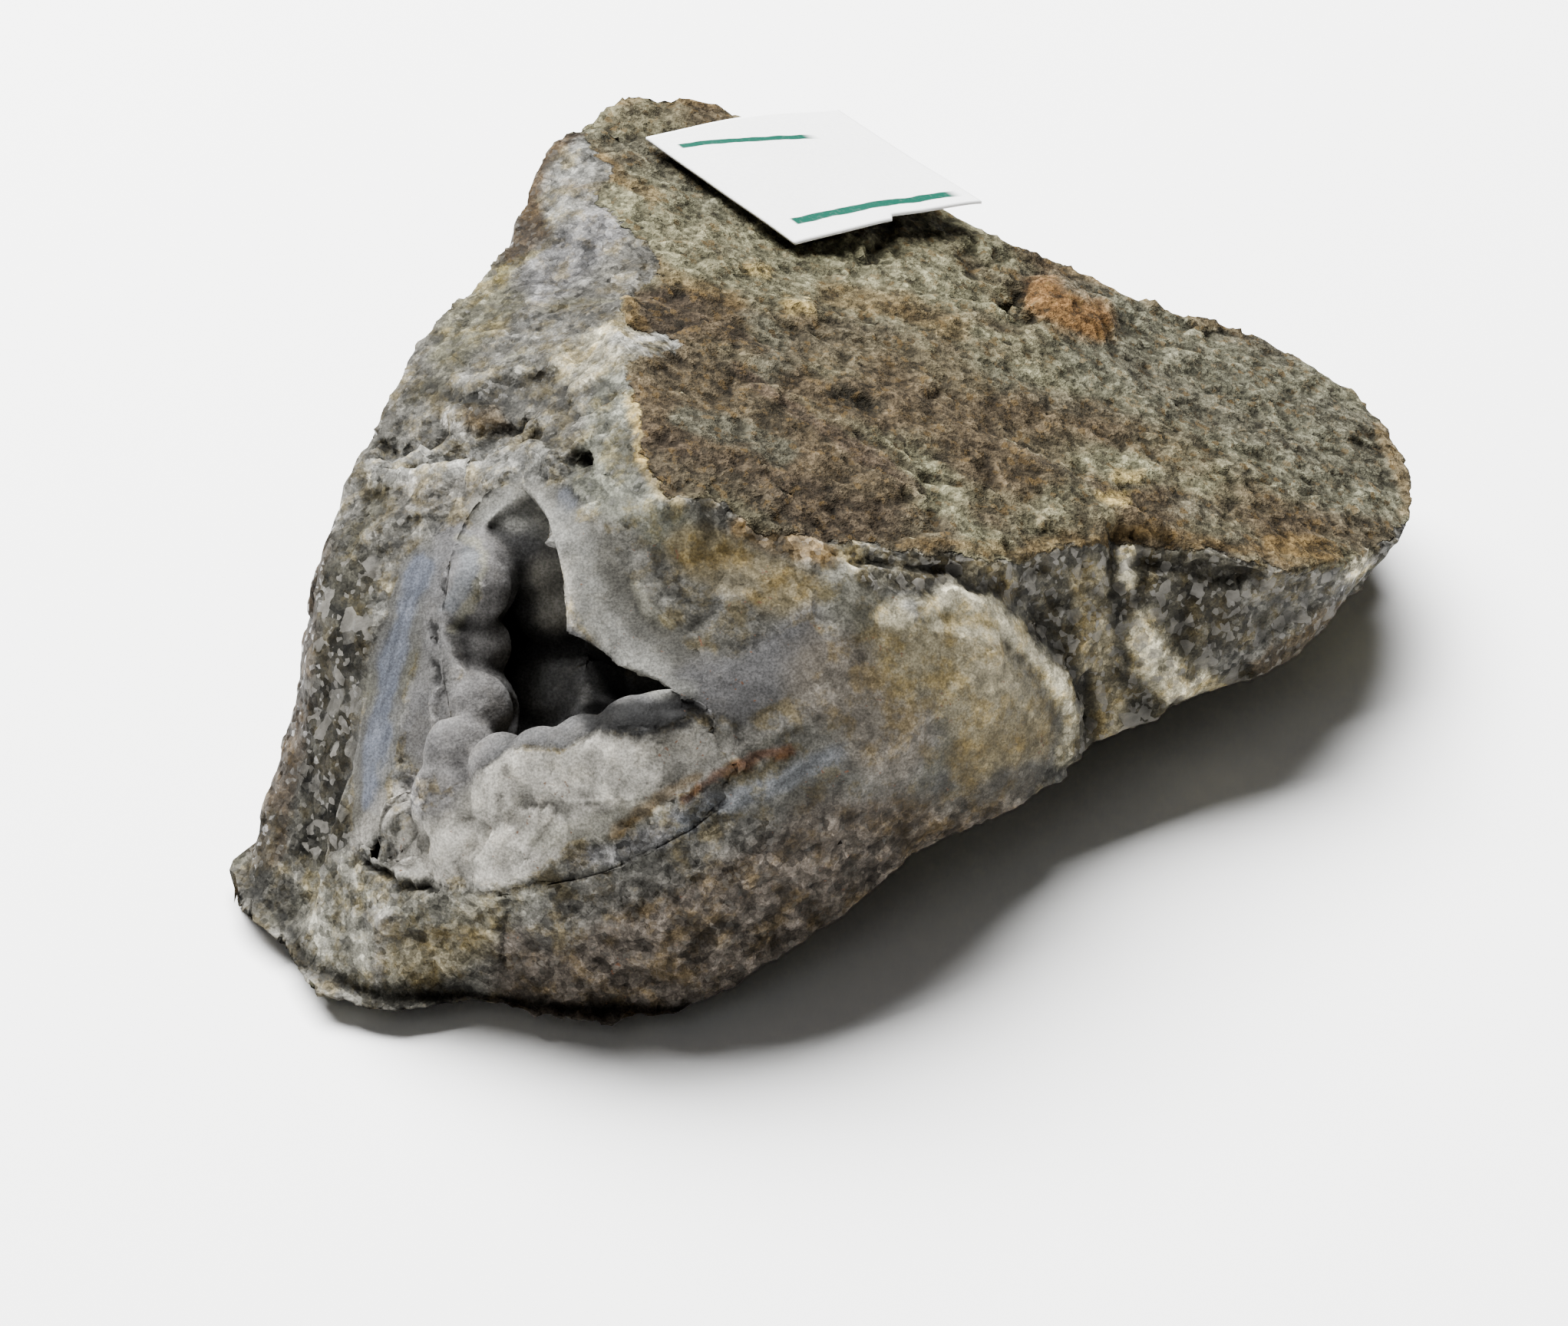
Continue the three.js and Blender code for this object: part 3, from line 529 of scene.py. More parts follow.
class Zones:
    """Which part of the specimen each point of a mesh belongs to, as weights from 0 to 1."""

    def __init__(self, points, normals):
        self.plain = photo_place(points)
        self.places = ragged(self.plain, points)
        self.seen = smoothstep(-0.12, 0.04, facing(points, normals))
        depth = depth_in(self.places, TOP_OUTLINE)
        # the hidden sides are weathered too
        self.top_depth = (1 - self.seen) * 30 + self.seen * depth
        self.top = smoothstep(-6, 6, self.top_depth)
        self.host = self.seen * smoothstep(-6, 6, depth_in(self.places, HOST_OUTLINE)) * (1 - self.top)
        self.matrix = self.seen * smoothstep(-10, 10, depth_in(self.places, MATRIX_OUTLINE))
        self.lower = self.seen * smoothstep(-25, 25, depth_in(self.places, LOWER_OUTLINE))
        self.shelf = self.seen * smoothstep(-5, 5, depth_in(self.places, SHELF_OUTLINE))
        self.mouth = smoothstep(-8, 8, depth_in(self.plain, MOUTH_OUTLINE))
        band = 1 - smoothstep(20, 34, distance_to_line(self.places, BLUE_LINE))
        calm = [(760, 720), (800, 800), (880, 880), (960, 900), (1040, 850)]
        vein = 1 - smoothstep(30, 60, distance_to_line(self.places, calm))
        left = 1 - smoothstep(24, 44, distance_to_line(self.places, [(600, 720), (575, 850), (560, 980)]))
        ceiling = 1 - smoothstep(26, 44, distance_to_line(self.places, [(640, 665), (720, 665)]))
        self.calm = self.seen * smoothstep(-12, 12, depth_in(self.places, SMOOTH_OUTLINE)) * (1 - self.top)
        right = 0.62 * self.calm
        wax = np.maximum.reduce([band, vein, left, ceiling, self.mouth, 0.9 * self.shelf, right])
        self.wax = self.seen * wax * (1 - self.top)


def relief(points, zones):
    """How far each point of the specimen's surface stands out, in metres."""
    way = np.array(VIEW_BACK)
    points = points - (1 - GRAIN_WIDTH) * (points @ way)[:, None] * way
    weathered = 0.16 * lumps(points, 2 * MM, 4, 2.0) + 0.3 * crystal_faces(points, 2.6 * MM, 11.0)
    weathered += 0.16 * crystal_faces(points, 1.1 * MM, 13.0) + 0.06 * lumps(points, 0.7 * MM, 2, 4.0)
    broken = 0.15 * crystal_faces(points, 2.2 * MM) + 0.1 * crystal_faces(points, 0.9 * MM, 2.0)
    broken += 0.12 * lumps(points, 3.2 * MM, 2, 7.0)
    chunky = 0.26 * crystal_faces(points, 2.6 * MM, 5.0) + 0.12 * crystal_faces(points, 1.0 * MM, 8.0)
    grainy = 0.2 * lumps(points, 0.9 * MM, 3, 6.0) + 0.12 * crystal_faces(points, 1.4 * MM, 4.0)
    smooth = 0.07 * lumps(points, 2.2 * MM, 3, 1.0)
    height = zones.top * weathered + (1 - zones.top) * broken
    height = mixed(height, chunky, np.maximum(zones.host, 0.7 * zones.matrix))
    height = mixed(height, grainy, zones.lower * (1 - zones.top))
    height = mixed(height, smooth, zones.wax)
    for mark_height, half_width, line in MARKS.values():
        reach = distance_to_line(zones.places, line) / half_width
        height += zones.seen * mark_height * (1 - smoothstep(0.3, 1.4, reach))
    return height * MM


def mixed(low, high, share):
    """The numbers low where the share is 0 and high where it is 1."""
    return low + share * (high - low)


def tinted(colour, other, share):
    """The colour where the share is 0 and the other where it is 1, as a row for each share."""
    return colour + share[:, None] * (other - colour)


def painted(colour, places, patches, palette, seen):
    """Rows of colour with patches laid over them along their lines."""
    for shade, half_width, strength, line in patches.values():
        reach = distance_to_line(places, line) / half_width
        weight = strength * seen * (1 - smoothstep(0.55, 1.3, reach))
        colour = tinted(colour, palette[shade], weight)
    return colour


def set_attribute(mesh, name, kind, values):
    """Stores one value or row of values for each point of a mesh."""
    field = {"FLOAT": "value", "FLOAT_VECTOR": "vector", "FLOAT_COLOR": "color"}[kind]
    attribute = mesh.attributes.new(name, kind, "POINT")
    attribute.data.foreach_set(field, np.asarray(values, np.float32).ravel())


def paint(mesh, colours):
    """Gives the mesh its colours and zones as attributes, which the materials read."""
    points = points_of(mesh)
    zones = Zones(points, normals_of(mesh))
    palette = {name: np.array(getattr(colours, name)) for name in colours.__annotations__}
    count = len(points)
    weathered = tinted(palette["host_olive"], palette["host_brown"], smoothstep(-0.5, 0.5, lumps(points, 7 * MM, 3, 2.5)))
    weathered = tinted(weathered, palette["host_dark"], 0.6 * smoothstep(0.1, 0.8, lumps(points, 5 * MM, 3, 6.5)))
    weathered = tinted(weathered, palette["host_grey"], 0.6 * smoothstep(0.1, 0.7, lumps(points, 6 * MM, 3, 8.5)))
    top = painted(weathered, zones.places, TOP_PATCHES, palette, zones.seen)
    vein = np.tile(palette["vein_grey"], (count, 1))
    vein = tinted(vein, palette["vein_white"], 0.5 * smoothstep(0, 0.8, lumps(points, 3 * MM, 3, 4.5)))
    vein = tinted(vein, palette["olive"], 0.5 * smoothstep(0.1, 0.8, lumps(points, 4 * MM, 3, 7.5)))
    vein = tinted(vein, palette["lower_brown"], 0.9 * zones.lower)
    vein = tinted(vein, palette["shelf"], zones.shelf)
    vein = tinted(vein, palette["lobes"], zones.mouth * (1 - zones.shelf))
    vein = painted(vein, zones.places, VEIN_PATCHES, palette, zones.seen)
    vein = tinted(vein, palette["left_matrix"], zones.matrix)
    vein = tinted(vein, palette["matrix"], zones.host)
    vein = painted(vein, zones.places, HOST_PATCHES, palette, zones.seen * zones.host)
    opaque = np.ones((count, 1))
    set_attribute(mesh, "top_tint", "FLOAT_COLOR", np.hstack([top, opaque]))
    set_attribute(mesh, "vein_tint", "FLOAT_COLOR", np.hstack([vein, opaque]))
    crystals = np.maximum(zones.matrix, zones.host)
    depth = zones.top_depth * PIXEL / MM
    set_attribute(mesh, "zones", "FLOAT_VECTOR", np.column_stack([depth, crystals, zones.wax]))
    line_across, line_down = np.array(BLUE_LINE, float).T
    across = (zones.plain[:, 0] - np.interp(zones.plain[:, 1], line_down, line_across)) * PIXEL / MM
    along = zones.plain[:, 1] * PIXEL / MM
    rust = np.maximum.reduce([1.1 * zones.shelf, 0.8 * zones.lower, 0.9 * zones.calm])
    set_attribute(mesh, "marks", "FLOAT_VECTOR", np.column_stack([across, rust, along]))
    set_attribute(mesh, "hollowness", "FLOAT", hollowness(mesh))


def hollowness(mesh):
    """How far each point lies below its surroundings, in millimetres, less than 0 where it stands out."""
    points = points_of(mesh)
    ends = np.empty(len(mesh.edges) * 2, np.int32)
    mesh.edges.foreach_get("vertices", ends)
    first, second = ends.reshape(-1, 2).T
    count = np.bincount(first, minlength=len(points)) + np.bincount(second, minlength=len(points))
    smooth = points.copy()
    for _ in range(12):
        total = np.zeros_like(points)
        for axis in range(3):
            total[:, axis] += np.bincount(first, smooth[second, axis], len(points))
            total[:, axis] += np.bincount(second, smooth[first, axis], len(points))
        smooth = 0.4 * smooth + 0.6 * total / count[:, None]
    return np.einsum("ij,ij->i", smooth - points, normals_of(mesh)) / MM


def move_points(mesh, points):
    """Puts a mesh's points at these places, none of them below the ground."""
    points[:, 2] = np.maximum(points[:, 2], 0)
    mesh.vertices.foreach_set("co", points.ravel())
    mesh.update()


class Nodes:
    """Adds linked nodes to a shader tree by short calls that return output sockets."""

    def __init__(self, tree):
        self.tree = tree

    def put(self, value, socket):
        """Links a socket, or sets its number or colour."""
        if isinstance(value, bpy.types.NodeSocket):
            self.tree.links.new(value, socket)
        else:
            socket.default_value = value

    def add(self, kind, settings=None, **inputs):
        """A node of a kind, with its settings and its inputs by name. A _ stands for a space."""
        node = self.tree.nodes.new(kind)
        for name, setting in (settings or {}).items():
            setattr(node, name, setting)
        for name, value in inputs.items():
            self.put(value, node.inputs[name.replace("_", " ")])
        return node

    def math(self, operation, *values):
        node = self.add("ShaderNodeMath", {"operation": operation})
        for value, socket in zip(values, node.inputs):
            self.put(value, socket)
        return node.outputs[0]

    def vector_math(self, operation, *values, output=0):
        node = self.add("ShaderNodeVectorMath", {"operation": operation})
        for value, socket in zip(values, node.inputs):
            self.put(value, socket)
        return node.outputs[output]

    def scaled(self, vector, scale):
        node = self.add("ShaderNodeVectorMath", {"operation": "SCALE"}, Scale=scale)
        self.put(vector, node.inputs[0])
        return node.outputs[0]

    def mix(self, factor, low, high, blend="MIX"):
        """A colour between two colours."""
        node = self.add("ShaderNodeMix", {"data_type": "RGBA", "blend_type": blend})
        self.put(factor, node.inputs["Factor"])
        for value, socket in ((low, node.inputs[6]), (high, node.inputs[7])):
            self.put(value, socket)
        return node.outputs[2]

    def blend(self, factor, low, high):
        """A number between two numbers."""
        node = self.add("ShaderNodeMix", {"data_type": "FLOAT"})
        for value, socket in zip((factor, low, high), (node.inputs[0], node.inputs[2], node.inputs[3])):
            self.put(value, socket)
        return node.outputs[0]

    def ramp(self, value, low, high, start=0.0, end=1.0):
        """A smooth rise from start to end as the value goes from low to high."""
        node = self.add("ShaderNodeMapRange", {"interpolation_type": "SMOOTHSTEP"}, Value=value)
        for number, name in ((low, "From Min"), (high, "From Max"), (start, "To Min"), (end, "To Max")):
            self.put(number, node.inputs[name])
        return node.outputs[0]

    def noise(self, vector, size, detail=3.0, roughness=0.55):
        """Cloudy noise from 0 to 1, its lumps of a size in the vector's unit."""
        node = self.add("ShaderNodeTexNoise", Vector=vector, Scale=1 / size, Detail=detail)
        self.put(roughness, node.inputs["Roughness"])
        return node.outputs["Fac"]

    def cells(self, vector, size):
        """A Voronoi node with cells of a size in the vector's unit."""
        return self.add("ShaderNodeTexVoronoi", Vector=vector, Scale=1 / size)


def new_group(name, inputs, outputs):
    """A shader node group: the helper for its nodes, its input sockets and its output sockets."""
    tree = bpy.data.node_groups.new(name, "ShaderNodeTree")
    for label, kind in inputs.items():
        tree.interface.new_socket(name=label, in_out="INPUT", socket_type=kind)
    for label in outputs:
        tree.interface.new_socket(name=label, in_out="OUTPUT", socket_type="NodeSocketFloat")
    nodes = Nodes(tree)
    ends = (tree.nodes.new("NodeGroupInput").outputs, tree.nodes.new("NodeGroupOutput").inputs)
    return nodes, ends[0], ends[1]


def group_node(nodes, name, **inputs):
    """A node that uses a group by its name, as the dictionary of its outputs."""
    node = nodes.add("ShaderNodeGroup", {"node_tree": bpy.data.node_groups[name]}, **inputs)
    return node.outputs


def make_foliated_grain():
    """Weathered, foliated rock: a tone round 1, ochre and dark masks, and a height in millimetres."""
    nodes, given, made = new_group(
        "foliated_grain", {"Vector": "NodeSocketVector"}, ["Tone", "Ochre", "Dark", "Height"]
    )
    turn = FOLIATION.rotation_difference(Vector((1, 0, 0))).to_euler()
    turned = nodes.add("ShaderNodeMapping", Vector=given["Vector"], Rotation=turn)
    pressed = nodes.add("ShaderNodeMapping", Vector=turned.outputs[0], Scale=(1.15, 1, 1)).outputs[0]
    squeezed = given["Vector"]
    patches = nodes.noise(pressed, 2.1, 5.0, 0.7)
    clumps = nodes.noise(squeezed, 0.7, 3.0, 0.65)
    grains = nodes.noise(squeezed, 0.24, 2.0, 0.7)
    warm = nodes.noise(nodes.vector_math("ADD", pressed, (7.3, 1.7, 4.1)), 0.8, 5.0, 0.78)
    bits = nodes.cells(squeezed, 0.34)
    chance = nodes.add("ShaderNodeSeparateColor", Color=bits.outputs["Color"]).outputs
    tone = nodes.math("MULTIPLY", nodes.ramp(clumps, 0.3, 0.7, 0.68, 1.34), nodes.ramp(grains, 0.28, 0.72, 0.56, 1.44))
    tone = nodes.math("MULTIPLY", tone, nodes.ramp(patches, 0.34, 0.66, 0.68, 1.36))
    tone = nodes.math("MULTIPLY", tone, nodes.ramp(chance[0], 0.0, 1.0, 0.62, 1.42))
    ochre = nodes.math("MULTIPLY", nodes.ramp(warm, 0.51, 0.65), nodes.ramp(grains, 0.4, 0.62))
    specks = nodes.ramp(nodes.math("ADD", chance[1], nodes.math("MULTIPLY", warm, 0.7)), 1.24, 1.3)
    ochre = nodes.math("MAXIMUM", ochre, specks)
    lines = nodes.noise(nodes.vector_math("ADD", pressed, (2.1, 9.4, 3.3)), 0.75, 3.0, 0.6)
    dark = nodes.ramp(nodes.math("ABSOLUTE", nodes.math("SUBTRACT", lines, 0.47)), 0.004, 0.02, 1.0, 0.0)
    dark = nodes.math("MULTIPLY", dark, nodes.ramp(patches, 0.4, 0.5, 1.0, 0.0))
    pits = nodes.ramp(nodes.math("SUBTRACT", chance[2], nodes.math("MULTIPLY", patches, 0.5)), 0.66, 0.72)
    dark = nodes.math("MAXIMUM", dark, nodes.math("MULTIPLY", pits, 0.8))
    height = nodes.math("MULTIPLY_ADD", clumps, 0.22, nodes.math("MULTIPLY", grains, 0.16))
    height = nodes.math("SUBTRACT", height, nodes.math("MULTIPLY", dark, 0.06))
    for value, label in ((tone, "Tone"), (ochre, "Ochre"), (dark, "Dark"), (height, "Height")):
        nodes.put(value, made[label])


def make_vein_mottle():
    """Mottled vein: a tone round 1, and masks of warm and of pale patches."""
    nodes, given, made = new_group("vein_mottle", {"Vector": "NodeSocketVector"}, ["Tone", "Warm", "Pale"])
    blotches = nodes.noise(given["Vector"], 1.7, 5.0, 0.66)
    bits = nodes.noise(nodes.vector_math("ADD", given["Vector"], (3.7, 1.2, 8.8)), 0.5, 4.0, 0.7)
    warm = nodes.noise(nodes.vector_math("ADD", given["Vector"], (9.1, 4.4, 2.6)), 1.5, 5.0, 0.7)
    pale = nodes.noise(nodes.vector_math("ADD", given["Vector"], (5.5, 7.9, 1.3)), 0.8, 5.0, 0.75)
    tone = nodes.math("MULTIPLY", nodes.ramp(blotches, 0.32, 0.68, 0.66, 1.36), nodes.ramp(bits, 0.3, 0.7, 0.74, 1.3))
    nodes.put(tone, made["Tone"])
    nodes.put(nodes.ramp(warm, 0.46, 0.64), made["Warm"])
    nodes.put(nodes.ramp(pale, 0.56, 0.63), made["Pale"])


def make_crystal_grain():
    """Broken crystals of a size: a tone round 1, a chance per crystal, and a height of flat faces."""
    nodes, given, made = new_group(
        "crystal_grain",
        {"Vector": "NodeSocketVector", "Size": "NodeSocketFloat"},
        ["Tone", "Chance", "Height"],
    )
    wobble = nodes.add("ShaderNodeTexNoise", Vector=given["Vector"], Scale=2.2, Detail=2.0)
    vector = nodes.vector_math("ADD", given["Vector"], nodes.scaled(wobble.outputs["Color"], 0.22))
    scale = nodes.math("DIVIDE", 1.0, given["Size"])
    cells = nodes.add("ShaderNodeTexVoronoi", Vector=vector, Scale=scale)
    chance = nodes.add("ShaderNodeSeparateColor", Color=cells.outputs["Color"]).outputs
    offset = nodes.vector_math("SUBTRACT", vector, cells.outputs["Position"])
    tilt = nodes.vector_math("SUBTRACT", cells.outputs["Color"], (0.5, 0.5, 0.5))
    height = nodes.vector_math("DOT_PRODUCT", offset, tilt, output="Value")
    tone = nodes.ramp(chance[0], 0.0, 1.0, 0.68, 1.34)
    for value, label in ((tone, "Tone"), (chance[2], "Chance"), (height, "Height")):
        nodes.put(value, made[label])


def make_lace():
    """The lace of thin layers along the blue band: a tone from the millimetres across and along it."""
    nodes, given, made = new_group("lace", {"Across": "NodeSocketFloat", "Along": "NodeSocketFloat"}, ["Tone"])
    place = nodes.add("ShaderNodeCombineXYZ", X=given["Across"], Y=nodes.math("MULTIPLY", given["Along"], 0.06))
    layers = nodes.noise(place.outputs[0], 0.22, 2.0, 0.5)
    near = nodes.ramp(nodes.math("ABSOLUTE", given["Across"]), 0.5, 1.4, 1.0, 0.0)
    contrast = nodes.ramp(layers, 0.3, 0.7, 0.84, 1.2)
    nodes.put(nodes.blend(near, 1.0, contrast), made["Tone"])


def make_rust_spots():
    """Small rusty specks, more where the amount is larger."""
    nodes, given, made = new_group("rust_spots", {"Vector": "NodeSocketVector", "Amount": "NodeSocketFloat"}, ["Mask"])
    patchy = nodes.noise(given["Vector"], 1.6, 3.0)
    specks = nodes.noise(given["Vector"], 0.28, 2.0, 0.6)
    level = nodes.math("MULTIPLY_ADD", patchy, 0.5, nodes.math("MULTIPLY", specks, 0.8))
    limit = nodes.math("MULTIPLY_ADD", given["Amount"], -0.12, 0.94)
    over = nodes.math("SUBTRACT", level, limit)
    nodes.put(nodes.ramp(over, 0.0, 0.06), made["Mask"])


def new_material(name):
    """A material with node helper and its Principled BSDF."""
    material = bpy.data.materials.new(name)
    material.use_nodes = True
    return material, Nodes(material.node_tree), material.node_tree.nodes["Principled BSDF"]


def separated(nodes, name):
    """The three numbers of a vector attribute."""
    attribute = nodes.add("ShaderNodeAttribute", {"attribute_name": name})
    return nodes.add("ShaderNodeSeparateXYZ", Vector=attribute.outputs["Vector"]).outputs


def rock_material(name, colours, wax_roughness):
    """Host rock, vein and chalcedony, told apart by the mesh's attributes."""
    material, nodes, shader = new_material(name)
    coordinates = nodes.tree.nodes.new("ShaderNodeTexCoord").outputs["Object"]
    turn = VIEW_BACK.rotation_difference(Vector((0, 0, 1))).to_euler()
    turned = nodes.add("ShaderNodeMapping", Vector=nodes.scaled(coordinates, 1 / MM), Rotation=turn).outputs[0]
    vector = nodes.add("ShaderNodeMapping", Vector=turned, Scale=(1, 1, GRAIN_WIDTH)).outputs[0]
    top_tint = nodes.add("ShaderNodeAttribute", {"attribute_name": "top_tint"}).outputs["Color"]
    vein_tint = nodes.add("ShaderNodeAttribute", {"attribute_name": "vein_tint"}).outputs["Color"]
    depth, matrix, wax = separated(nodes, "zones")
    across, rust, along = separated(nodes, "marks")
    foliated = group_node(nodes, "foliated_grain", Vector=vector)
    coarse = group_node(nodes, "crystal_grain", Vector=vector, Size=0.62)
    fine = group_node(nodes, "crystal_grain", Vector=vector, Size=0.27)
    plates = group_node(nodes, "crystal_grain", Vector=vector, Size=1.3)
    lace = group_node(nodes, "lace", Across=across, Along=along)
    mottle = group_node(nodes, "vein_mottle", Vector=vector)
    rusty = group_node(nodes, "rust_spots", Vector=vector, Amount=rust)
    rough = nodes.math("SUBTRACT", 1.0, wax)

    ragged_edge = nodes.math("MULTIPLY_ADD", nodes.noise(vector, 0.45, 3.0), 0.7, -0.35)
    top = nodes.ramp(nodes.math("ADD", depth, ragged_edge), -0.07, 0.07)

    grain = nodes.math("MULTIPLY", nodes.math("MULTIPLY", coarse["Tone"], fine["Tone"]), plates["Tone"])
    grain = nodes.blend(nodes.ramp(rough, 0.0, 1.0, 0.25, 1.0), 1.0, grain)
    mottled = nodes.blend(nodes.ramp(rough, 0.0, 1.0, 0.3, 1.0), 1.0, mottle["Tone"])
    speckle = nodes.ramp(nodes.noise(vector, 0.12, 2.0, 0.6), 0.3, 0.7, 0.72, 1.34)
    tone = nodes.math("MULTIPLY", nodes.math("MULTIPLY", grain, mottled), lace["Tone"])
    tone = nodes.math("MULTIPLY", tone, speckle)
    vein = nodes.mix(1.0, vein_tint, tone, "MULTIPLY")
    warm = nodes.math("MULTIPLY", mottle["Warm"], nodes.ramp(rough, 0.1, 0.3, 0.12, 0.95))
    vein = nodes.mix(warm, vein, nodes.mix(1.0, vein, (1.03, 0.9, 0.62, 1), "MULTIPLY"))
    pale = nodes.math("MULTIPLY", mottle["Pale"], nodes.ramp(rough, 0.1, 0.3, 0.08, 0.5))
    vein = nodes.mix(pale, vein, nodes.mix(1.0, vein, (1.55, 1.54, 1.52, 1), "MULTIPLY"))
    crystal = nodes.math("MULTIPLY", nodes.ramp(coarse["Chance"], 0.78, 0.86), matrix)
    small = nodes.math("MULTIPLY", nodes.ramp(fine["Chance"], 0.82, 0.9), nodes.math("MAXIMUM", matrix, 0.3))
    white = nodes.math("MULTIPLY", nodes.math("MAXIMUM", crystal, nodes.math("MULTIPLY", small, rough)), 0.6)
    vein = nodes.mix(white, vein, (*colours.crystal, 1))
    stain = nodes.math("MULTIPLY", rusty["Mask"], 0.8)
    vein = nodes.mix(stain, vein, (*colours.rust, 1))

    weathered = nodes.mix(1.0, top_tint, foliated["Tone"], "MULTIPLY")
    weathered = nodes.mix(nodes.math("MULTIPLY", foliated["Ochre"], 0.55), weathered, (*colours.ochre, 1))
    weathered = nodes.mix(nodes.math("MULTIPLY", foliated["Dark"], 0.75), weathered, (*colours.shadow, 1))
    # Painted shade and light: the colour is darkened where the surface lies below its surroundings and lightened where
    # it stands out.
    hollow = nodes.add("ShaderNodeAttribute", {"attribute_name": "hollowness"}).outputs["Fac"]
    cavity_shade_and_bulge_light = nodes.ramp(hollow, -0.12, 0.14, 1.22, 0.42)
    colour = nodes.mix(1.0, nodes.mix(top, vein, weathered), cavity_shade_and_bulge_light, "MULTIPLY")
    nodes.put(colour, shader.inputs["Base Color"])

    glint = nodes.ramp(fine["Chance"], 0.9, 0.94, 0.62, 0.25)
    vein_roughness = nodes.blend(wax, glint, wax_roughness)
    nodes.put(nodes.blend(top, vein_roughness, 0.82), shader.inputs["Roughness"])
    shader.inputs["Specular IOR Level"].default_value = 0.03

    faces = nodes.math("MULTIPLY_ADD", coarse["Height"], 0.5, nodes.math("MULTIPLY", fine["Height"], 0.45))
    faces = nodes.math("MULTIPLY_ADD", plates["Height"], 0.5, faces)
    faces = nodes.math("MULTIPLY", faces, nodes.blend(rough, 0.06, 1.0))
    pores = nodes.math("MULTIPLY", nodes.noise(vector, 0.16, 3.0, 0.6), 0.03)
    vein_height = nodes.math("ADD", faces, pores)
    height = nodes.blend(top, vein_height, foliated["Height"])
    bump = nodes.add("ShaderNodeBump", Strength=1.0, Distance=MM, Height=height)
    nodes.put(bump.outputs[0], shader.inputs["Normal"])
    return material


def label_material(colours):
    """White paper with two printed lines along it."""
    material, nodes, shader = new_material("label_paper")
    place = nodes.add("ShaderNodeUVMap", {"uv_map": "label"}).outputs[0]
    along, across, _ = nodes.add("ShaderNodeSeparateXYZ", Vector=place).outputs
    vector = nodes.scaled(nodes.tree.nodes.new("ShaderNodeTexCoord").outputs["Object"], 1 / MM)
    fibres = nodes.noise(vector, 0.25, 4.0, 0.6)
    waver = nodes.math("MULTIPLY_ADD", nodes.noise(vector, 2.5, 2.0), 0.03, -0.015)
    shift = nodes.math("ADD", across, waver)
    ink = None
    for place_across, slope, start, end, width in LABEL_LINES:
        middle = nodes.math("MULTIPLY_ADD", along, slope, place_across)
        beside = nodes.math("ABSOLUTE", nodes.math("SUBTRACT", shift, middle))
        line = nodes.ramp(beside, 0.75 * width, width, 1.0, 0.0)
        line = nodes.math("MULTIPLY", line, nodes.ramp(along, start, start + 0.015))
        line = nodes.math("MULTIPLY", line, nodes.ramp(along, end, end + 0.08, 1.0, 0.0))
        ink = line if ink is None else nodes.math("MAXIMUM", ink, line)
    ink = nodes.math("MULTIPLY", ink, nodes.ramp(fibres, 0.25, 0.5, 0.96, 1.0))
    paper = nodes.mix(nodes.ramp(fibres, 0.3, 0.7, 0.0, 0.08), (*colours.paper, 1), (*colours.cream_grey, 1))
    nodes.put(nodes.mix(ink, paper, (*colours.green_ink, 1)), shader.inputs["Base Color"])
    shader.inputs["Roughness"].default_value = 0.7
    shader.inputs["Specular IOR Level"].default_value = 0.05
    bump = nodes.add("ShaderNodeBump", Strength=0.4, Distance=0.02 * MM, Height=fibres)
    nodes.put(bump.outputs[0], shader.inputs["Normal"])
    return material


# The label's printed lines: their place across it, their slope, where they start and end, half their width.
LABEL_LINES = [(0.14, -0.02, 0.09, 0.88, 0.03), (0.89, -0.2, 0.07, 0.62, 0.022)]


def colour_setting(name, description, default):
    """A colour property that a user can change."""
    return FloatVectorProperty(
        name=name, description=description, default=default, subtype="COLOR", size=3, min=0, max=1
    )


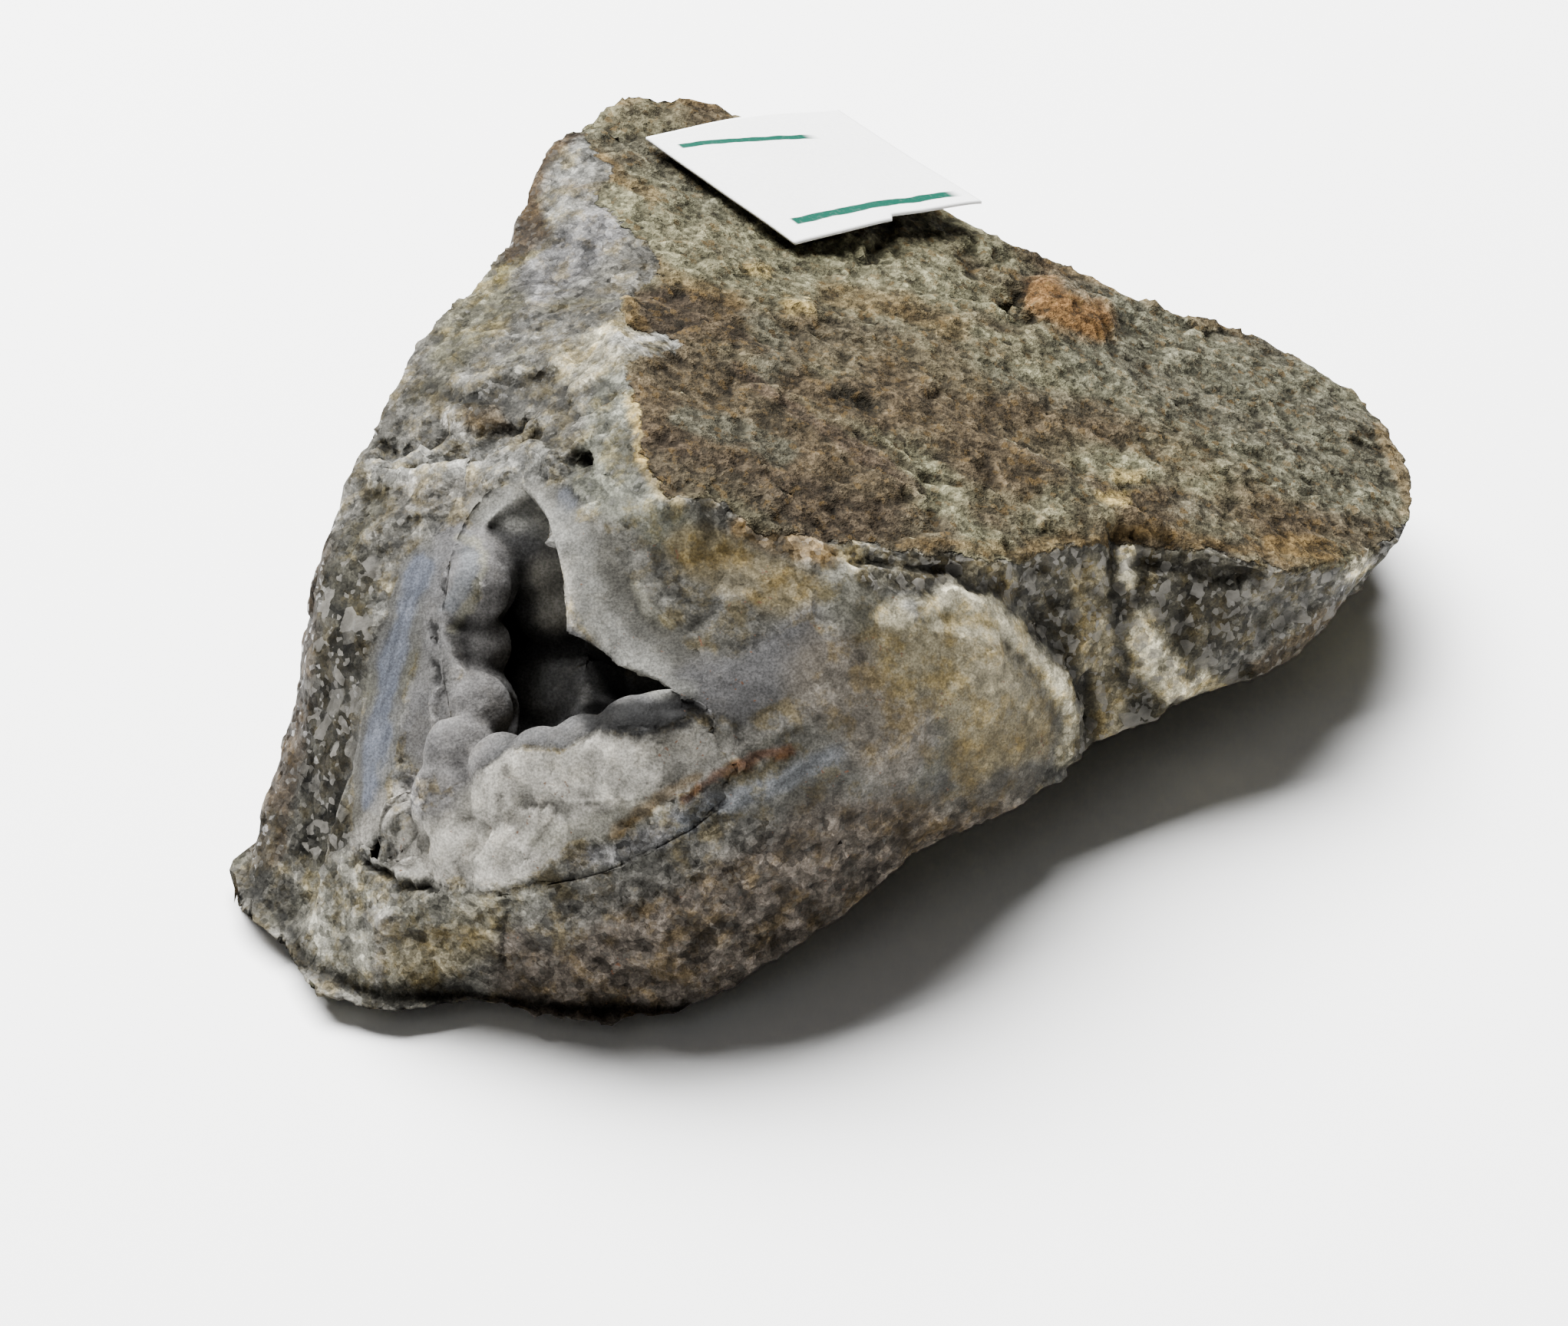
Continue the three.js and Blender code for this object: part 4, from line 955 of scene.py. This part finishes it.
class AgateColours(bpy.types.PropertyGroup):
    """Colours of the rock, the vein and the label, with some that paint light and shade."""

    host_olive: colour_setting("Host olive", "Paler weathered host rock", (0.0715, 0.0681, 0.0409))
    host_brown: colour_setting("Host brown", "Brown weathered host rock", (0.032, 0.0239, 0.0141))
    host_dark: colour_setting("Host dark", "Darkest weathered host rock", (0.0217, 0.0161, 0.0105))
    host_grey: colour_setting("Host grey", "Grey host rock at the right end", (0.0505, 0.0494, 0.035))
    matrix: colour_setting("Matrix", "Fresh dark host rock", (0.0285, 0.0264, 0.02))
    left_matrix: colour_setting("Left matrix", "Dark host rock left of the hollow", (0.0159, 0.0151, 0.0118))
    vein_grey: colour_setting("Vein grey", "Plain broken vein", (0.0445, 0.0427, 0.0368))
    vein_white: colour_setting("Vein white", "Pale broken vein", (0.1133, 0.1117, 0.1012))
    vein_dark: colour_setting("Vein dark", "Darker grey vein", (0.0594, 0.0579, 0.0517))
    vein_green: colour_setting("Vein green", "Grey-green vein by the ridge", (0.065, 0.0659, 0.052))
    olive: colour_setting("Olive", "Olive stained vein", (0.0545, 0.0511, 0.0316))
    olive_ochre: colour_setting("Olive ochre", "Ochre stained vein", (0.0813, 0.0663, 0.0363))
    beige: colour_setting("Beige", "Vein between the hollow and the knob", (0.0948, 0.083, 0.0672))
    knob: colour_setting("Knob", "Rounded end of the vein", (0.126, 0.1097, 0.0696))
    cream: colour_setting("Cream", "Cream crystals", (0.1788, 0.1329, 0.0491))
    cream_white: colour_setting("Cream white", "Whitest crystals", (0.2794, 0.2559, 0.1799))
    cream_grey: colour_setting("Cream grey", "Pale grey-green foot", (0.1146, 0.1107, 0.0892))
    crystal: colour_setting("Crystal", "White crystals in the dark host rock", (0.124, 0.1176, 0.104))
    lavender: colour_setting("Lavender", "Smooth lavender layers", (0.069, 0.0677, 0.069))
    blue: colour_setting("Blue", "Blue lace", (0.0526, 0.0578, 0.0712))
    blue_grey: colour_setting("Blue grey", "Duller blue layers", (0.0776, 0.0812, 0.0853))
    lobes: colour_setting("Lobes", "Rounded crust inside the hollow", (0.0555, 0.0548, 0.0543))
    # Painted light for the shaded lobes at the left of the hollow.
    lobes_painted_light: colour_setting("Pale lobes", "Lit crust at the left of the hollow", (0.0832, 0.08, 0.0776))
    # Painted shade for the floor of the hollow.
    lobes_painted_shade: colour_setting("Dark lobes", "Dim crust on the floor of the hollow", (0.0087, 0.0086, 0.0085))
    ledge_brown: colour_setting("Ledge brown", "Brown ledge at the back of the hollow", (0.0882, 0.0873, 0.0853))
    shelf: colour_setting("Shelf", "White broken shelf of the crust", (0.2034, 0.1942, 0.1704))
    lower_brown: colour_setting("Lower brown", "Grainy brown below the hollow", (0.0465, 0.0386, 0.0313))
    ochre: colour_setting("Ochre", "Ochre stains", (0.06, 0.0382, 0.0139))
    orange: colour_setting("Orange", "Orange nodule", (0.0735, 0.0375, 0.0127))
    rust: colour_setting("Rust", "Rust stains", (0.087, 0.0421, 0.025))
    rust_dark: colour_setting("Dark rust", "Red-brown stains", (0.0252, 0.0171, 0.0122))
    moss: colour_setting("Green", "Green-ochre edge", (0.0519, 0.0453, 0.017))
    # Dark grain, lines and pits of the rock; the same colour is also painted shade under the brow, beside the orange
    # nodule, in the pit above the hollow and on the red-brown left rim.
    shadow: colour_setting("Shadow", "Dark pits", (0.0148, 0.0124, 0.008))
    black: colour_setting("Black", "Blackest spots", (0.004, 0.004, 0.003))
    paper: colour_setting("Paper", "The label's paper", (0.86, 0.86, 0.85))
    green_ink: colour_setting("Green ink", "The label's lines", (0.001, 0.05, 0.033))


class AgateSizes(bpy.types.PropertyGroup):
    """Sizes of the specimen's meshes."""

    seen_edge: FloatProperty(
        name="Seen edge", description="Longest edge on the sides that the photograph shows",
        default=0.46 * MM, unit="LENGTH",
    )
    hidden_edge: FloatProperty(
        name="Hidden edge", description="Longest edge on the back and the underside",
        default=1.2 * MM, unit="LENGTH",
    )
    hollow_edge: FloatProperty(
        name="Hollow edge", description="Longest edge round the hollow",
        default=0.36 * MM, unit="LENGTH",
    )
    crust_voxel: FloatProperty(
        name="Crust voxel", description="Width of the crust's even squares",
        default=0.22 * MM, unit="LENGTH",
    )
    foot_gap: FloatProperty(
        name="Foot gap", description="How far the lowest edge is worn off above the ground",
        default=1.5 * MM, unit="LENGTH",
    )
    paper_thickness: FloatProperty(
        name="Paper thickness", description="Thickness of the label",
        default=0.16 * MM, unit="LENGTH",
    )
    paper_curl: FloatProperty(
        name="Paper curl", description="How far the label's right end bends",
        default=0.3 * MM, unit="LENGTH",
    )


class AgateStudio(bpy.types.PropertyGroup):
    """The stage round the specimen."""

    floor_width: FloatProperty(
        name="Floor width", description="Width of the pale floor", default=6, unit="LENGTH"
    )
    floor_colour: colour_setting("Floor", "The pale floor", (0.87, 0.87, 0.865))
    sky_strength: FloatProperty(
        name="Sky strength", description="Even light from all sides", default=0.06
    )
    key_energy: FloatProperty(
        name="Key light", description="Large light above, behind and at the left", default=39, unit="POWER"
    )
    fill_energy: FloatProperty(
        name="Fill light", description="Weak light from the front", default=0.45, unit="POWER"
    )


def finish_piece(piece, node, materials):
    """Binds a finished piece to the frame."""
    for material in materials:
        piece.data.materials.append(material)
    piece.data.shade_smooth()
    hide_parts(node)
    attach(piece, "root")


def raise_foot(points, normals, gap):
    """Lifts the lowest edge off the ground, towards the camera in front so that its outline stays."""
    ray = np.array(VIEW_EYE) - points
    ray /= ray[:, 2:]
    side = smoothstep(-0.98, -0.8, normals[:, 2])
    front = smoothstep(-0.2, 0.1, facing(points, normals))[:, None]
    lift = (side * np.maximum(gap - points[:, 2], 0))[:, None]
    return points + lift * (front * ray + (1 - front) * np.array((0, 0, 1)))


class AGATE_OT_stone(bpy.types.Operator):
    """Make the host rock with its vein"""

    bl_idname = "agate.stone"
    bl_label = "Host Rock and Vein"

    def execute(self, context):
        sizes = context.scene.agate_sizes
        colours = context.scene.agate_colours
        bm = cut_hollows(node_copy("stone"))
        split_long_edges(bm, lambda edge: 2 * MM, 2)
        round_shallow_edges(bm, 4, math.radians(42))
        split_long_edges(bm, stone_edge_limit(sizes), 5)
        soften_pit(bm)
        bmesh.ops.smooth_vert(bm, verts=bm.verts, factor=0.5, use_axis_x=True, use_axis_y=True, use_axis_z=True)
        mesh = bpy.data.meshes.new("host_rock_and_vein")
        bm.to_mesh(mesh)
        bm.free()
        points = points_of(mesh)
        normals = normals_of(mesh)
        zones = Zones(points, normals)
        points = raise_foot(points, normals, sizes.foot_gap)
        move_points(mesh, points + relief(points, zones)[:, None] * normals)
        paint(mesh, colours)
        piece = new_piece("host_rock_and_vein", mesh)
        finish_piece(piece, "stone", [rock_material("rock", colours, 0.58)])
        return {"FINISHED"}


class AGATE_OT_crust(bpy.types.Operator):
    """Make the chalcedony crust of the hollow"""

    bl_idname = "agate.crust"
    bl_label = "Chalcedony Crust"

    def execute(self, context):
        sizes = context.scene.agate_sizes
        colours = context.scene.agate_colours
        bm = cut_hollows(node_copy("chalcedony_crust"))
        add_buds(bm)
        mesh = even_mesh("chalcedony_lining", bm, sizes.crust_voxel)
        bm = bmesh.new()
        bm.from_mesh(mesh)
        for _ in range(5):
            bmesh.ops.smooth_vert(bm, verts=bm.verts, factor=0.5, use_axis_x=True, use_axis_y=True, use_axis_z=True)
        bm.to_mesh(mesh)
        bm.free()
        points = close_to_stone(points_of(mesh))
        move_points(mesh, points)
        normals = normals_of(mesh)
        zones = Zones(points, normals)
        waxy = 0.07 * lumps(points, 1.6 * MM, 3, 4.0) + 0.02 * lumps(points, 0.4 * MM, 2, 7.0)
        shelf = 0.07 * lumps(points, 2.6 * MM, 2, 2.0) + 0.16 * crystal_faces(points, 2 * MM, 3.0)
        shelf += 0.08 * crystal_faces(points, 0.9 * MM, 5.0)
        height = mixed(waxy, shelf, zones.shelf) * MM
        height += zones.shelf * relief(points, zones) * 0.3
        move_points(mesh, points + height[:, None] * normals)
        paint(mesh, colours)
        piece = new_piece("chalcedony_lining", mesh)
        finish_piece(piece, "chalcedony_crust", [rock_material("chalcedony", colours, 0.58)])
        return {"FINISHED"}


def close_to_stone(points):
    """Draws the crust's outer points over the gap and just into the stone."""
    bm = node_copy("stone")
    stone = BVHTree.FromBMesh(bm)
    moved = points.copy()
    for i, point in enumerate(points):
        nearest, _, _, distance = stone.find_nearest(Vector(point))
        if distance > 0.9 * MM or distance == 0:
            continue
        pull = float(1 - smoothstep(0.4 * MM, 0.9 * MM, distance))
        reach = (distance + 0.15 * MM) / distance
        moved[i] = point + pull * reach * (np.array(nearest) - point)
    bm.free()
    return moved


class AGATE_OT_label(bpy.types.Operator):
    """Make the paper label"""

    bl_idname = "agate.label"
    bl_label = "Paper Label"

    def execute(self, context):
        sizes = context.scene.agate_sizes
        colours = context.scene.agate_colours
        corners = points_of(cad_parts["paper_label"].data)
        near = Vector(corners[corners[:, 1].argmin()])
        left = Vector(corners[corners[:, 0].argmin()])
        right = Vector(corners[corners[:, 0].argmax()])
        along = right - near
        across = left - near
        up = along.cross(across).normalized()
        bm = bmesh.new()
        bmesh.ops.create_grid(bm, x_segments=80, y_segments=64, size=0.5)
        bmesh.ops.translate(bm, verts=bm.verts, vec=(0.5, 0.5, 0))
        uv = bm.loops.layers.uv.new("label")
        for face in bm.faces:
            for loop in face.loops:
                along_share, across_share, _ = loop.vert.co
                inset = label_inset(along_share)
                loop[uv].uv = (along_share, inset + across_share * (1 - inset))
        for vert in bm.verts:
            vert.co = label_place(vert.co.x, vert.co.y, near, along, across, up, sizes)
        bmesh.ops.solidify(bm, geom=bm.faces, thickness=sizes.paper_thickness)
        mesh = bpy.data.meshes.new("paper_sticker")
        bm.to_mesh(mesh)
        bm.free()
        piece = new_piece("paper_sticker", mesh)
        finish_piece(piece, "paper_label", [label_material(colours)])
        return {"FINISHED"}


# The label's arch, the step in its near edge, and where along it that edge steps.
LABEL_ARCH = 0.4 * MM
LABEL_STEP = 0.035
LABEL_STEP_AT = 0.5


def label_inset(along_share):
    """How far the label's near edge is set in there, as a share of its width."""
    return LABEL_STEP * float(smoothstep(LABEL_STEP_AT - 0.01, LABEL_STEP_AT + 0.01, along_share))


def label_place(along_share, across_share, near, along, across, up, sizes):
    """The place of a point of the label from its shares along and across it."""
    inset = label_inset(along_share)
    arch = LABEL_ARCH * (1 - (2 * along_share - 1) ** 2)
    crease = 0.12 * MM * noise.noise(Vector((along_share * 3, across_share * 2, 4)))
    lifted = float(smoothstep(0.55, 1, along_share))
    curl = sizes.paper_curl * lifted * (1 - across_share) ** 2
    rise = sizes.paper_thickness + arch + crease + curl
    return near + along_share * along + (inset + across_share * (1 - inset)) * across + rise * up


class AGATE_OT_stage(bpy.types.Operator):
    """Make the floor, the lights and the camera"""

    bl_idname = "agate.stage"
    bl_label = "Floor, Lights and Camera"

    def execute(self, context):
        studio = context.scene.agate_studio
        bm = bmesh.new()
        bmesh.ops.create_grid(bm, x_segments=1, y_segments=1, size=studio.floor_width / 2)
        mesh = bpy.data.meshes.new("floor")
        bm.to_mesh(mesh)
        bm.free()
        material, _, shader = new_material("pale_floor")
        shader.inputs["Base Color"].default_value = (*studio.floor_colour, 1)
        shader.inputs["Roughness"].default_value = 0.9
        shader.inputs["Specular IOR Level"].default_value = 0.1
        mesh.materials.append(material)
        new_piece("floor", mesh)

        world = bpy.data.worlds.new("soft_sky")
        world.use_nodes = True
        background = world.node_tree.nodes["Background"]
        background.inputs["Color"].default_value = (1, 1, 1, 1)
        background.inputs["Strength"].default_value = studio.sky_strength
        context.scene.world = world
        add_light("key", studio.key_energy, 0.62, (-0.175, 0.225, 0.6))
        add_light("fill", studio.fill_energy, 0.4, (-0.2, -0.6, 0.35))
        add_camera(context.scene)
        return {"FINISHED"}


def add_light(name, energy, size, place):
    """A square soft light that looks at the specimen."""
    light = bpy.data.lights.new(name, "AREA")
    light.energy = energy
    light.size = size
    lamp = bpy.data.objects.new(name, light)
    lamp.location = place
    lamp.rotation_euler = (-Vector(place)).to_track_quat("-Z", "Y").to_euler()
    bpy.context.scene.collection.objects.link(lamp)


def add_camera(scene):
    """The photograph's camera."""
    camera = bpy.data.cameras.new("camera")
    camera.sensor_width = SENSOR_WIDTH
    camera.lens = SENSOR_WIDTH * FOCAL_PIXELS / PHOTO_WIDTH
    camera.clip_start = 0.01
    holder = bpy.data.objects.new("camera", camera)
    holder.matrix_world = Matrix.Translation(VIEW_EYE) @ VIEW_BACK.to_track_quat("Z", "Y").to_matrix().to_4x4()
    scene.collection.objects.link(holder)
    scene.camera = holder


class AGATE_PT_sidebar(bpy.types.Panel):
    """The specimen's steps and settings"""

    bl_label = "Agate Specimen"
    bl_space_type = "VIEW_3D"
    bl_region_type = "UI"
    bl_category = "Agate"

    def draw(self, context):
        column = self.layout.column()
        for operator in PIECE_OPERATORS:
            column.operator(operator.bl_idname)
        for settings in (context.scene.agate_sizes, context.scene.agate_studio, context.scene.agate_colours):
            box = column.box()
            for name in settings.__annotations__:
                box.prop(settings, name)


PIECE_OPERATORS = (AGATE_OT_stage, AGATE_OT_stone, AGATE_OT_crust, AGATE_OT_label)
SETTINGS = {"agate_colours": AgateColours, "agate_sizes": AgateSizes, "agate_studio": AgateStudio}


def register():
    for cls in (*SETTINGS.values(), *PIECE_OPERATORS, AGATE_PT_sidebar):
        bpy.utils.register_class(cls)
    for name, group in SETTINGS.items():
        setattr(bpy.types.Scene, name, PointerProperty(type=group))


def unregister():
    for name in SETTINGS:
        delattr(bpy.types.Scene, name)
    for cls in reversed((*SETTINGS.values(), *PIECE_OPERATORS, AGATE_PT_sidebar)):
        bpy.utils.unregister_class(cls)


def main():
    """Makes the whole specimen."""
    register()
    make_foliated_grain()
    make_crystal_grain()
    make_lace()
    make_vein_mottle()
    make_rust_spots()
    bpy.ops.agate.stage()
    bpy.ops.agate.stone()
    bpy.ops.agate.crust()
    bpy.ops.agate.label()


if __name__ == "__main__":
    main()
